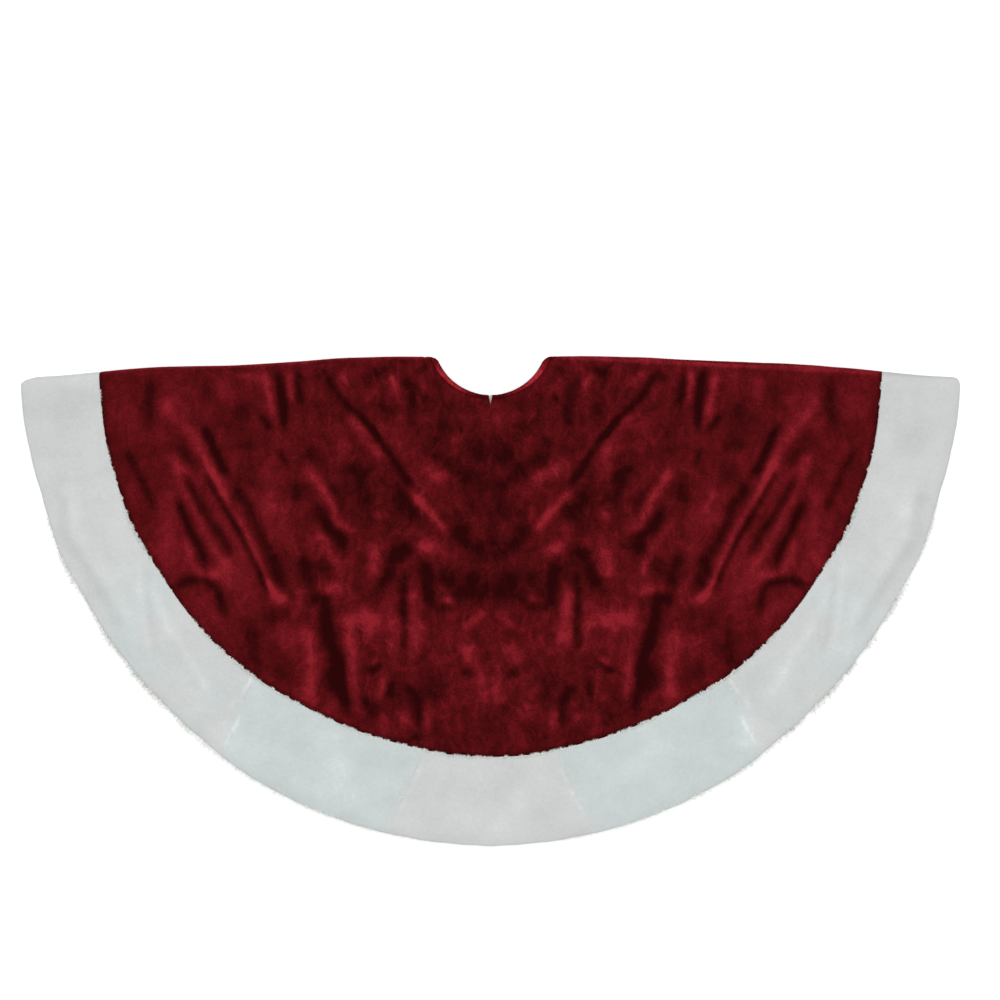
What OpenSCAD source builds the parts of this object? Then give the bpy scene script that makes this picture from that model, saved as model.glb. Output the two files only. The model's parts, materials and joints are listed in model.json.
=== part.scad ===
// Christmas tree skirt: a round plush skirt with a wide white fur border, lying folded in half
// along the line opposite its slit.
//
// The origin is the point where the two straight edges meet, at the middle of the trunk
// opening, on the floor. +X is to the right, along the folded edge. +Y is away from the hem.
// +Z is up through the layers: the back half lies on the floor, plush side down, and the
// front half lies on it, plush side up. The left straight edge is the fold, and the right
// one is the open slit. Sizes are in millimetres and angles in degrees.

/* [Skirt] */
// Radius of the outer hem
hem_r = 610; // [580:5:700]
// How far the centre of the hem's arc lies below the origin
hem_drop = 29.5; // [10:0.5:40]
// Radius of the seam between the red panels and the white border
seam_r = 504; // [440:2:520]
// How far the centre of that seam's arc lies below the origin
seam_drop = 17.5; // [0:0.5:30]
// Radius of the trunk opening's edge
neck_r = 80; // [60:1:110]
// How far the centre of the trunk opening's arc lies above the origin
neck_rise = 26.5; // [10:0.5:40]
// Fall of each straight edge below the X axis, which opens the slit into a narrow V
edge_fall = 2.9; // [2.5:0.1:6]
// Radius of the slit edge's rounded corner at the hem
hem_corner_r = 13; // [8:1:40]
// Radius of the slit edge's rounded corner at the trunk opening
neck_corner_r = 11; // [9:1:20]

/* [Layers] */
// Thickness of the plush and of the fur, with the pile
plush_t = 6; // [3:0.5:8]
// Thickness of the lining
lining_t = 1; // [0.5:0.1:1.5]
// Height from the fold plane to each lining
lining_clearance = 1.5; // [1.4:0.1:3]
// Width of the binding round the trunk opening
binding_w = 5; // [3:0.5:8]
// How far the lining stops short of the hem
lining_inset = 10; // [4:1:30]

/* [Border] */
// Angle from straight down to the inner end of each middle border joint
near_joint_in = 9.8; // [5:0.1:20]
// Angle from straight down to the outer end of each middle border joint
near_joint_out = 12.8; // [5:0.1:20]
// Angle from straight down to the inner end of each side border joint
far_joint_in = 37.5; // [30:0.1:60]
// Angle from straight down to the outer end of each side border joint
far_joint_out = 34.8; // [30:0.1:60]

/* [Neck gap] */
// Width of the small gap where the front centre seam ends at the trunk opening
neck_gap_w = 4.5; // [2:0.1:8]
// Depth of that gap
neck_gap_depth = 12; // [7:0.5:20]

/* [Slit] */
// Width of the facing strip turned in along each slit edge
facing_w = 24; // [22:1:40]
// Thickness of the facing strip
facing_t = 0.8; // [0.4:0.1:1]
// Length of each hook or loop pad
pad_l = 50; // [30:1:60]
// Width of each hook or loop pad
pad_w = 18; // [12:1:20]
// Thickness of each hook pad
hook_t = 0.6; // [0.3:0.1:0.6]
// Thickness of each loop pad, which is sunk into the pile
loop_t = 1.5; // [0.5:0.1:2.5]
// Distance along the slit from the origin to the first pad's middle
first_pad_at = 130; // [120:5:180]
// Distance along the slit from one pad's middle to the next
pad_pitch = 160; // [80:5:160]

/* [Care label] */
// Length of the blank care label
label_l = 45; // [25:1:60]
// Width of the blank care label
label_w = 28; // [15:1:40]
// Thickness of the blank care label
label_t = 0.4; // [0.2:0.1:0.8]
// Distance along the slit from the origin to the label's middle
label_at = 210; // [180:5:400]

/* [Hidden] */
$fn = 240;

// Clearance between pieces sewn edge to edge, and angle that gives it at a border joint
sewing_gap = 0.2;
joint_gap_angle = sewing_gap / 2 / seam_r * 180 / PI;
// Reach of the construction shapes past the outline
reach = hem_r + 200;
// How far a corner's circle pokes out past the edges that it joins
corner_poke = 0.05;

// Heights above the fold plane, which lies halfway between the two linings
lining_h = lining_clearance;
plush_h = lining_h + lining_t;
top_h = plush_h + plush_t;
facing_h = lining_h - facing_t;
hook_h = facing_h - hook_t;
// The fold's outer radius is the height of half the stack
roll_r = top_h;

hem_centre = [0, -hem_drop];
seam_centre = [0, -seam_drop];
neck_centre = [0, neck_rise];

// Joints between the border pieces, from left to right; the first and last lie past the edges
past_edge = 95;
joints_in = [-past_edge, -far_joint_in, -near_joint_in, near_joint_in, far_joint_in, past_edge];
joints_out = [-past_edge, -far_joint_out, -near_joint_out, near_joint_out, far_joint_out,
              past_edge];

// Right straight edge: unit vector along it away from the origin, and its inward normal
along = [cos(edge_fall), -sin(edge_fall)];
inward = [-sin(edge_fall), -cos(edge_fall)];

pad_places = [for (i = [0 : 2]) first_pad_at + i * pad_pitch];
label_clearance = 4;

plush_red = [0.42, 0.06, 0.11];
fur_white = [0.82, 0.84, 0.83];
lining_white = [0.9, 0.88, 0.85];
pad_white = [0.95, 0.95, 0.95];

// Point at an angle from straight down, on a circle
function on_arc(centre, r, angle) = centre + r * [sin(angle), -cos(angle)];

// Distance along the right edge to the middle of a corner circle of radius r, whose middle is
// dist away from the centre of the arc that it touches
function corner_at(centre, r, dist) =
    let (start = r * inward - centre, b = along * start)
    -b + sqrt(b * b - start * start + dist * dist);

// What a rounded corner takes off: a kite from the corner circle's middle past its two
// touching points, on the straight edge and on the arc, less the circle. The circle pokes
// out a little there, so that it cuts both edges instead of only touching them.
module corner_waste(r, at, centre, arc_r) {
    middle = at * along + r * inward;
    arc_touch = centre + (middle - centre) * arc_r / norm(middle - centre);
    to_edge = -inward;
    to_arc = (arc_touch - middle) / r;
    to_tip = (to_edge + to_arc) / (1 + to_edge * to_arc);
    past = 1.5 * r;
    translate(middle) difference() {
        polygon([[0, 0], past * to_edge, past * to_tip, past * to_arc]);
        circle(r + corner_poke);
    }
}

module slit_corner_waste() {
    corner_waste(hem_corner_r, corner_at(hem_centre, hem_corner_r, hem_r - hem_corner_r),
                 hem_centre, hem_r);
    corner_waste(neck_corner_r, corner_at(neck_centre, neck_corner_r, neck_r + neck_corner_r),
                 neck_centre, neck_r);
}

// Everything below a line at an angle to X, a given distance below the origin
module below_line(angle, distance) {
    rotate(angle) translate([-reach, -2 * reach - distance]) square(2 * reach);
}

module disc(centre, r) {
    translate(centre) circle(r);
}

// Outline of the folded skirt on every side but the fold
module folded_outline() {
    difference() {
        intersection() {
            below_line(-edge_fall, 0);
            disc(hem_centre, hem_r);
        }
        disc(neck_centre, neck_r);
        slit_corner_waste();
    }
}

// Outline of one flat half, which stops at the hinge line of the fold
module half_outline() {
    intersection() {
        folded_outline();
        below_line(edge_fall, roll_r + sewing_gap);
    }
}

module inside_seam() {
    intersection() {
        children();
        disc(seam_centre, seam_r);
    }
}

module outside_seam() {
    difference() {
        children();
        disc(seam_centre, seam_r + sewing_gap);
    }
}

// Leaves out the strip that the neck binding fills
module clear_of_binding() {
    difference() {
        children();
        disc(neck_centre, neck_r + binding_w + sewing_gap);
    }
}

// The left (-1) or right (+1) side of the centre seam
module side_of_centre(side) {
    intersection() {
        children();
        translate([side * (reach + sewing_gap / 2), 0]) square(2 * reach, center = true);
    }
}

// Wedge between border joint i and the next one
module joint_wedge(i) {
    from_in = on_arc(seam_centre, seam_r, joints_in[i] + joint_gap_angle);
    from_out = on_arc(hem_centre, hem_r, joints_out[i] + joint_gap_angle);
    to_in = on_arc(seam_centre, seam_r, joints_in[i + 1] - joint_gap_angle);
    to_out = on_arc(hem_centre, hem_r, joints_out[i + 1] - joint_gap_angle);
    stretch = 2;
    polygon([
        from_out - stretch * (from_out - from_in), from_out + stretch * (from_out - from_in),
        to_out + stretch * (to_out - to_in), to_out - stretch * (to_out - to_in)
    ]);
}

// Strip along the right straight edge, from one distance along it to another
module slit_strip(from, to, width) {
    polygon([from * along, to * along, to * along + width * inward, from * along + width * inward]);
}

// A pad of the closure, across the middle of the facing strip
module pad_outline(at) {
    inset = (facing_w - pad_w) / 2;
    translate(inset * inward) slit_strip(at - pad_l / 2, at + pad_l / 2, pad_w);
}

// Gap that the front centre seam leaves at the trunk opening
module neck_gap() {
    neck_bottom = neck_rise - neck_r;
    polygon([
        [-neck_gap_w / 2, neck_bottom + 2], [neck_gap_w / 2, neck_bottom + 2],
        [0, neck_bottom - neck_gap_depth]
    ]);
}

// Extrudes from one height above the fold plane to another
module layer(from_h, to_h) {
    translate([0, 0, from_h]) linear_extrude(to_h - from_h) children();
}

// Puts a half, made with its plush side away from the fold plane, on the top or at the bottom
module on_front() {
    translate([0, 0, roll_r]) children();
}

module on_back() {
    translate([0, 0, roll_r]) mirror([0, 0, 1]) children();
}

module panel(side) {
    color(plush_red)
        layer(plush_h, top_h) side_of_centre(side) clear_of_binding() inside_seam() half_outline();
}

module front_panel(side) {
    difference() {
        panel(side);
        layer(plush_h - 1, top_h + 1) neck_gap();
    }
}

module border(i) {
    color(fur_white)
        layer(plush_h, top_h) intersection() {
            outside_seam() half_outline();
            joint_wedge(i);
        }
}

module lining(side) {
    color(lining_white)
        layer(lining_h, plush_h) side_of_centre(side) clear_of_binding() intersection() {
            half_outline();
            disc(hem_centre, hem_r - lining_inset);
        }
}

module neck_binding() {
    color(plush_red)
        layer(lining_h, top_h) intersection() {
            half_outline();
            disc(neck_centre, neck_r + binding_w);
        }
}

module slit_facing() {
    color(lining_white)
        layer(facing_h, lining_h) clear_of_binding() intersection() {
            half_outline();
            slit_strip(0, hem_r - lining_inset, facing_w);
        }
}

// One stretch of the rolled cloth at the fold, between two radii round the hinge line
module fold_roll(inner_r, outer_r) {
    intersection() {
        rotate(edge_fall) translate([-reach, -roll_r, roll_r]) rotate([90, 0, 90])
            linear_extrude(reach) intersection() {
                difference() {
                    circle(outer_r);
                    circle(inner_r);
                }
                translate([0, -outer_r]) square(2 * outer_r);
            }
        translate([0, 0, -1]) linear_extrude(2 * roll_r + 2) children();
    }
}

module back_panel_left() {
    on_back() panel(-1);
}

module back_panel_right() {
    difference() {
        on_back() panel(1);
        on_back() layer(top_h - loop_t, top_h + 1) for (at = pad_places) pad_outline(at);
    }
}

module loop_pads() {
    color(pad_white) on_back() layer(top_h - loop_t, top_h) for (at = pad_places) pad_outline(at);
}

module hook_pads() {
    color(pad_white) on_front() layer(hook_h, facing_h) for (at = pad_places) pad_outline(at);
}

module care_label() {
    color(pad_white) on_back() layer(lining_h - label_t, lining_h)
        translate((facing_w + label_clearance) * inward)
            slit_strip(label_at - label_l / 2, label_at + label_l / 2, label_w);
}

module front_neck_binding() {
    difference() {
        on_front() neck_binding();
        on_front() layer(lining_h - 1, top_h + 1) neck_gap();
    }
}

module fold_roll_panel() {
    color(plush_red) fold_roll(plush_h, roll_r) clear_of_binding() inside_seam() folded_outline();
}

module fold_roll_border() {
    color(fur_white) fold_roll(plush_h, roll_r) outside_seam() folded_outline();
}

module fold_roll_lining() {
    color(lining_white) fold_roll(lining_h, plush_h) clear_of_binding() intersection() {
        folded_outline();
        disc(hem_centre, hem_r - lining_inset);
    }
}

back_panel_left();
back_panel_right();
on_back() border(0);  // back_border_far_left
on_back() border(1);  // back_border_left
on_back() border(2);  // back_border_centre
on_back() border(3);  // back_border_right
on_back() border(4);  // back_border_far_right
on_back() lining(-1);  // back_lining_left
on_back() lining(1);  // back_lining_right
on_back() neck_binding();  // back_neck_binding
on_back() slit_facing();  // back_slit_facing
loop_pads();
care_label();
fold_roll_panel();
fold_roll_border();
fold_roll_lining();
on_front() front_panel(-1);  // front_panel_left
on_front() front_panel(1);  // front_panel_right
on_front() border(0);  // front_border_far_left
on_front() border(1);  // front_border_left
on_front() border(2);  // front_border_centre
on_front() border(3);  // front_border_right
on_front() border(4);  // front_border_far_right
on_front() lining(-1);  // front_lining_left
on_front() lining(1);  // front_lining_right
front_neck_binding();
on_front() slit_facing();  // front_slit_facing
hook_pads();
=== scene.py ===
"""A round plush tree skirt with a white fur border, folded in half, on a pale floor.

Each piece of cloth is a closed sheet on a grid. A grid line runs outwards from one arc of the
skirt to another, and the lines of a piece run from left to right. The pieces at the left
straight edge go on round the fold, from the front half to the back half. Loose fur is added as
thin blades, and stitches as short rods. Heights are measured from the fold plane, which lies
between the two linings. Sizes are in metres.
"""
import json
import math

import bpy
import numpy as np
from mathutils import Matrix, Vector


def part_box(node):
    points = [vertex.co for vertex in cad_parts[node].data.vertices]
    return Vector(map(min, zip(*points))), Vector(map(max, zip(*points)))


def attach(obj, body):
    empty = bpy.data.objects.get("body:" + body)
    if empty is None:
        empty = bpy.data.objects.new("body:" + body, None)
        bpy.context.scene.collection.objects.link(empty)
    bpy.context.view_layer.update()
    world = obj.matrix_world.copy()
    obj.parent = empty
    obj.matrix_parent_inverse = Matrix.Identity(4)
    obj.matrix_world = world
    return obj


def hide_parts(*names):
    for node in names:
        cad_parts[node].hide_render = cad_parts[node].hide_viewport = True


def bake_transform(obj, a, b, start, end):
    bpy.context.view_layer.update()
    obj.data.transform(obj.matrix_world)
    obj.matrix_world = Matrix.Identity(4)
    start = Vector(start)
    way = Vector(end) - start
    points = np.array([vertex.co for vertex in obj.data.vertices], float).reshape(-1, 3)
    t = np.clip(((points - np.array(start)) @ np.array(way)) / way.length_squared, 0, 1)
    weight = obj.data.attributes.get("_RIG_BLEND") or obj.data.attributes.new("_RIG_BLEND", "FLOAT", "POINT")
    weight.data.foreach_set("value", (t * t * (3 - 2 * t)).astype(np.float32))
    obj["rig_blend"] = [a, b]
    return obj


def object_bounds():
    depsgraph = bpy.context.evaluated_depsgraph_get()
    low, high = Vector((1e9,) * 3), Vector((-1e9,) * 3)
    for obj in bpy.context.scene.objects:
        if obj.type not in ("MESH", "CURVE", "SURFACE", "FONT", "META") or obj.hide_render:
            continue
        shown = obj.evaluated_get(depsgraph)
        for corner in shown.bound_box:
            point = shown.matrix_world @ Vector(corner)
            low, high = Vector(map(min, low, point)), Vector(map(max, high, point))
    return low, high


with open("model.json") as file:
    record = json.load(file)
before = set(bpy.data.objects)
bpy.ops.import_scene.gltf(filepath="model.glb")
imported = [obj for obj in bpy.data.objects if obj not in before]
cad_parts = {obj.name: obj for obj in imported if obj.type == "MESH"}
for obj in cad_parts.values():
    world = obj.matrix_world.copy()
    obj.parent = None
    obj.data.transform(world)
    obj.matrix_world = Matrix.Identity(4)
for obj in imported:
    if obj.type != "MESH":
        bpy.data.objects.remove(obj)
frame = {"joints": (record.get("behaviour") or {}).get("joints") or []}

CAD_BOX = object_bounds()

# ---------------------------------------------------------------- the skirt's sizes

HINGE = np.array(frame["joints"][0]["pos_m"])
FOLD_AXIS = np.array(frame["joints"][0]["axis"])
FALL = math.atan2(-FOLD_AXIS[1], -FOLD_AXIS[0])
FOLD_Z = HINGE[2]
TOP_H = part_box("front_panel_left")[1].z - FOLD_Z
BACKING_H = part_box("front_panel_left")[0].z - FOLD_Z
LINING_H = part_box("front_lining_left")[0].z - FOLD_Z
FACING_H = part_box("front_slit_facing")[0].z - FOLD_Z
HOOK_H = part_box("hook_pads")[0].z - FOLD_Z
ROLL_R = FOLD_Z

NECK_R = 0.080
BINDING_W = 0.005
BINDING_CUT_W = 0.011
LINING_INSET = 0.010
FACING_W = 0.024
HEM_R = (CAD_BOX[1][0] - CAD_BOX[0][0]) / 2
SEAM_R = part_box("front_panel_right")[1].x

# Each arc is (y of its centre, radius); its angles are measured from straight down
HEM = (CAD_BOX[0][1] + HEM_R, HEM_R)
SEAM = (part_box("front_panel_right")[0].y + SEAM_R, SEAM_R)
NECK = (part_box("back_neck_binding")[0].y + NECK_R + BINDING_W, NECK_R)
BINDING = (NECK[0], NECK_R + BINDING_W)
LINING_HEM = (HEM[0], HEM_R - LINING_INSET)

# Angles of the border's joints, as (at the seam, at the hem)
NEAR_JOINT = (math.radians(9.8), math.radians(12.8))
FAR_JOINT = (math.radians(37.5), math.radians(34.8))

# How far each half's cloth is turned round the fold
TURNS = {"front": 0.0, "back": math.pi}
HALVES = tuple(TURNS)
# Spacing of the grids of the plush
FRONT_STEP = 0.003
BACK_STEP = 0.012
# Turns of the lines round the fold. None lies just beside the middle one, so that the opened
# skirt's crease stays under its lining
ROLL_TURNS = np.radians([155, 130, 90, 50, 25])
# A distance out of reach of every rounded rim
FAR = 1.0


def arc_point(arc, angle):
    """Points on an arc, at angles from straight down, positive to the right."""
    centre_y, radius = arc
    return np.stack([radius * np.sin(angle), centre_y - radius * np.cos(angle)], -1)


def edge_angle(arc, inset):
    """The angle where an arc meets the line that runs inset inside a straight edge."""
    centre_y, radius = arc
    return math.acos((centre_y * math.cos(FALL) + inset) / radius) - FALL


def smooth(t):
    t = np.clip(t, 0, 1)
    return t * t * (3 - 2 * t)


def noise(x, y, size, seed):
    """Smooth random values from -1 to 1, with features about size across."""
    cells = 64
    values = np.random.default_rng(seed).uniform(-1, 1, (cells, cells))
    gx, gy = np.asarray(x) / size, np.asarray(y) / size
    ix, iy = np.floor(gx).astype(int), np.floor(gy).astype(int)
    tx, ty = smooth(gx - ix), smooth(gy - iy)
    ix0, ix1, iy0, iy1 = ix % cells, (ix + 1) % cells, iy % cells, (iy + 1) % cells
    low = values[ix0, iy0] * (1 - tx) + values[ix1, iy0] * tx
    high = values[ix0, iy1] * (1 - tx) + values[ix1, iy1] * tx
    return low * (1 - ty) + high * ty


# ---------------------------------------------------------------- creases and nap

# Pleats and creases of the left side, repeated on the right: points and half width in
# centimetres, and strength. A valley is below 0: it sinks, and its nap is painted darker as
# painted shade. A ridge rises, and is painted lighter as a painted highlight.
CM = 0.01
PLEATS_WITH_PAINTED_LIGHT = [
    # The long pleat from the straight edge into the V below the trunk opening
    ([(-21.6, -2.4), (-19.4, -5.8), (-16.5, -8.5), (-14.3, -11.1)], 0.4, -1.2),
    ([(-16.5, -8.5), (-14.3, -11.1), (-12.5, -13.8), (-10.3, -17.2)], 0.45, -1.6),
    ([(-18.7, -8.0), (-16.6, -10.0), (-15.2, -12.5), (-14.0, -14.0)], 0.8, 0.9),
    ([(-16.2, -8.6), (-14.0, -10.8), (-11.9, -13.6)], 0.6, 0.6),
    ([(-12.4, -18.0), (-11.0, -20.0), (-9.2, -21.2)], 1.1, -1.2),
    ([(-10.6, -17.7), (-9.0, -19.4), (-7.2, -21.3), (-5.6, -23.0)], 0.55, 1.5),
    ([(-6.6, -20.9), (-4.9, -23.2), (-2.9, -24.8)], 0.6, -0.5),
    ([(-4.6, -22.9), (-2.8, -22.8)], 0.6, -1.0),
    ([(-4.2, -24.0), (-1.8, -25.4), (0.0, -26.4)], 0.8, -0.9),
    # The chevron inside the V
    ([(-7.8, -12.8), (-5.4, -14.2), (-3.6, -15.6)], 0.8, -0.8),
    ([(-3.8, -15.6), (-2.4, -16.6), (0.0, -17.4)], 0.9, -0.8),
    ([(-9.3, -14.3), (-7.6, -15.5), (-5.2, -16.2)], 0.8, 1.0),
    ([(-9.5, -24.6), (-7.9, -25.6)], 0.7, 1.0),
    # The long pleats down the left side
    ([(-42.4, -5.2), (-41.6, -7.6), (-38.5, -10.7), (-37.0, -13.5), (-35.0, -17.5)], 0.7, 0.7),
    ([(-37.0, -13.5), (-35.0, -17.5), (-33.3, -20.7), (-31.6, -23.2), (-30.2, -26.6),
      (-28.2, -31.2), (-26.5, -32.1)], 0.5, 0.8),
    ([(-36.8, -15.8), (-35.4, -18.4), (-33.6, -21.3), (-31.9, -24.3), (-30.2, -27.8),
      (-28.9, -30.9)], 0.35, -1.3),
    ([(-37.3, -9.3), (-36.2, -11.5), (-34.8, -14.7), (-33.9, -15.8)], 0.5, -1.7),
    ([(-33.2, -17.2), (-31.6, -19.4), (-30.5, -22.1), (-29.3, -24.9), (-28.4, -26.2)], 0.6, -1.2),
    ([(-27.8, -25.6), (-27.8, -28.0), (-27.2, -30.6)], 0.8, -1.4),
    ([(-41.4, -12.8), (-40.0, -14.6), (-38.4, -16.4)], 0.6, 0.6),
    ([(-40.8, -11.4), (-39.8, -12.8), (-38.4, -14.6)], 0.7, -0.7),
    ([(-39.4, -16.4), (-38.2, -18.8), (-36.8, -20.9), (-35.0, -23.5), (-33.3, -26.4)], 0.5, -1.1),
    ([(-41.4, -13.2), (-40.2, -16.4), (-38.5, -19.8), (-37.3, -22.4), (-35.9, -25.2),
      (-33.9, -27.9)], 0.5, 0.7),
    ([(-40.6, -19.0), (-39.4, -21.8), (-38.8, -23.4), (-37.7, -25.1), (-36.8, -27.6)], 0.5, -1.6),
    ([(-39.2, -24.2), (-38.8, -27.0), (-37.4, -28.8), (-34.8, -28.8)], 0.6, 0.8),
    ([(-32.0, -15.0), (-33.8, -21.0), (-32.4, -23.4)], 0.5, -0.5),
    ([(-47.2, -12.6), (-46.0, -14.8), (-44.9, -17.2), (-43.3, -20.4)], 0.5, -1.0),
    ([(-44.1, -3.4), (-44.0, -5.8), (-44.4, -9.4)], 0.6, -1.0),
    ([(-47.2, -5.0), (-47.0, -9.0)], 0.9, 0.4),
    # The curl by the seam
    ([(-41.0, -30.4), (-39.2, -29.4), (-37.0, -29.4), (-35.4, -30.6), (-34.6, -33.6)], 0.5, -1.3),
    ([(-39.0, -31.4), (-36.8, -32.8), (-35.2, -35.4)], 0.9, 0.5),
    # Short folds below the straight edge
    ([(-27.6, -2.0), (-27.0, -5.6), (-26.8, -9.8)], 0.45, -1.7),
    ([(-29.4, -2.2), (-28.9, -4.6), (-28.0, -8.4)], 0.5, 1.1),
    ([(-26.0, -2.2), (-25.7, -6.2)], 0.4, 1.0),
    ([(-24.9, -2.2), (-25.0, -4.0), (-24.5, -6.8)], 0.45, -1.2),
    ([(-29.9, -7.9), (-29.2, -8.8), (-28.4, -9.9)], 0.45, -1.3),
    ([(-27.6, -12.2), (-26.4, -14.6)], 0.4, -0.8),
    ([(-12.9, -2.6), (-12.3, -4.2), (-12.0, -5.6)], 0.4, 1.2),
    ([(-11.4, -3.0), (-10.3, -4.6), (-10.0, -7.0), (-10.1, -9.8)], 0.6, -1.1),
    ([(-15.2, -2.7), (-13.2, -2.0)], 0.6, -0.9),
    ([(-9.4, -2.9), (-8.4, -4.6), (-7.0, -6.0)], 0.4, 0.5),
    # Folds that hang from the middle of the side
    ([(-23.6, -15.0), (-21.8, -17.4), (-20.4, -20.0), (-19.6, -22.2), (-17.8, -22.8)], 0.7, 1.1),
    ([(-21.6, -16.6), (-20.0, -18.2), (-19.2, -20.0)], 0.5, -0.7),
    ([(-22.3, -20.2), (-21.0, -22.4), (-19.4, -24.0), (-19.1, -25.8)], 0.7, -1.5),
    ([(-22.7, -22.6), (-21.6, -24.4), (-20.4, -26.6), (-19.3, -29.0)], 0.6, 0.8),
    ([(-16.9, -14.6), (-16.6, -17.0), (-15.9, -19.6)], 0.8, -1.0),
    ([(-24.4, -26.0), (-24.0, -28.0), (-23.2, -30.4)], 0.7, -1.3),
    ([(-30.2, -28.2), (-29.4, -29.8), (-28.6, -31.2)], 0.4, -0.7),
    ([(-29.2, -29.4), (-28.0, -31.0), (-26.6, -32.2)], 0.6, 1.1),
    ([(-15.0, -24.6), (-15.2, -27.0), (-15.1, -29.6)], 0.8, 1.1),
    ([(-14.6, -30.8), (-13.2, -28.8), (-12.2, -26.2), (-11.4, -25.4), (-10.0, -25.8)], 0.7, -1.3),
    ([(-8.6, -27.0), (-8.0, -29.0), (-7.9, -33.0)], 0.7, -1.5),
    ([(-11.2, -28.5), (-11.3, -31.0), (-11.3, -34.4), (-11.3, -38.4)], 0.45, -1.2),
    ([(-10.0, -30.0), (-9.8, -33.6), (-9.5, -38.0)], 0.8, 1.1),
    # The wide valley near the seam and the swells beside it
    ([(-23.6, -31.9), (-21.6, -31.8), (-21.4, -34.4), (-20.6, -37.6), (-19.7, -39.6), (-19.2, -43.0),
      (-18.5, -46.4)], 0.7, -1.6),
    ([(-20.6, -40.4), (-20.3, -44.0)], 0.9, -1.0),
    ([(-23.7, -35.4), (-23.3, -39.0), (-23.3, -45.4)], 0.9, 1.3),
    ([(-18.4, -36.0), (-17.9, -40.0), (-18.1, -45.4)], 0.8, 1.0),
    ([(-19.4, -34.8), (-16.0, -34.4), (-14.0, -35.0)], 1.1, 1.2),
    ([(-16.0, -41.3), (-15.1, -40.9), (-14.0, -40.1)], 0.4, -1.2),
    ([(-15.4, -40.2), (-14.4, -39.6)], 0.4, 0.7),
    # Short folds above the bottom of the seam
    ([(-12.8, -42.4), (-13.1, -44.6)], 0.5, -1.2),
    ([(-13.9, -41.6), (-14.0, -44.0), (-15.0, -44.6)], 0.6, 0.8),
    ([(-11.2, -43.2), (-10.0, -43.8), (-9.4, -45.4), (-9.3, -48.0)], 0.5, -1.2),
    ([(-8.4, -46.0), (-8.0, -49.6)], 0.6, 0.9),
    ([(-16.6, -44.4), (-15.0, -47.2)], 0.6, -0.8),
    ([(-13.8, -46.4), (-13.8, -49.4)], 0.6, 0.7),
    ([(-0.9, -41.4), (-0.8, -45.6)], 0.8, 0.9),
    ([(-3.8, -41.3), (-2.2, -41.5)], 0.5, -1.0),
    ([(-3.0, -37.6), (-2.9, -40.4)], 0.9, 1.0),
]
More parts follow.
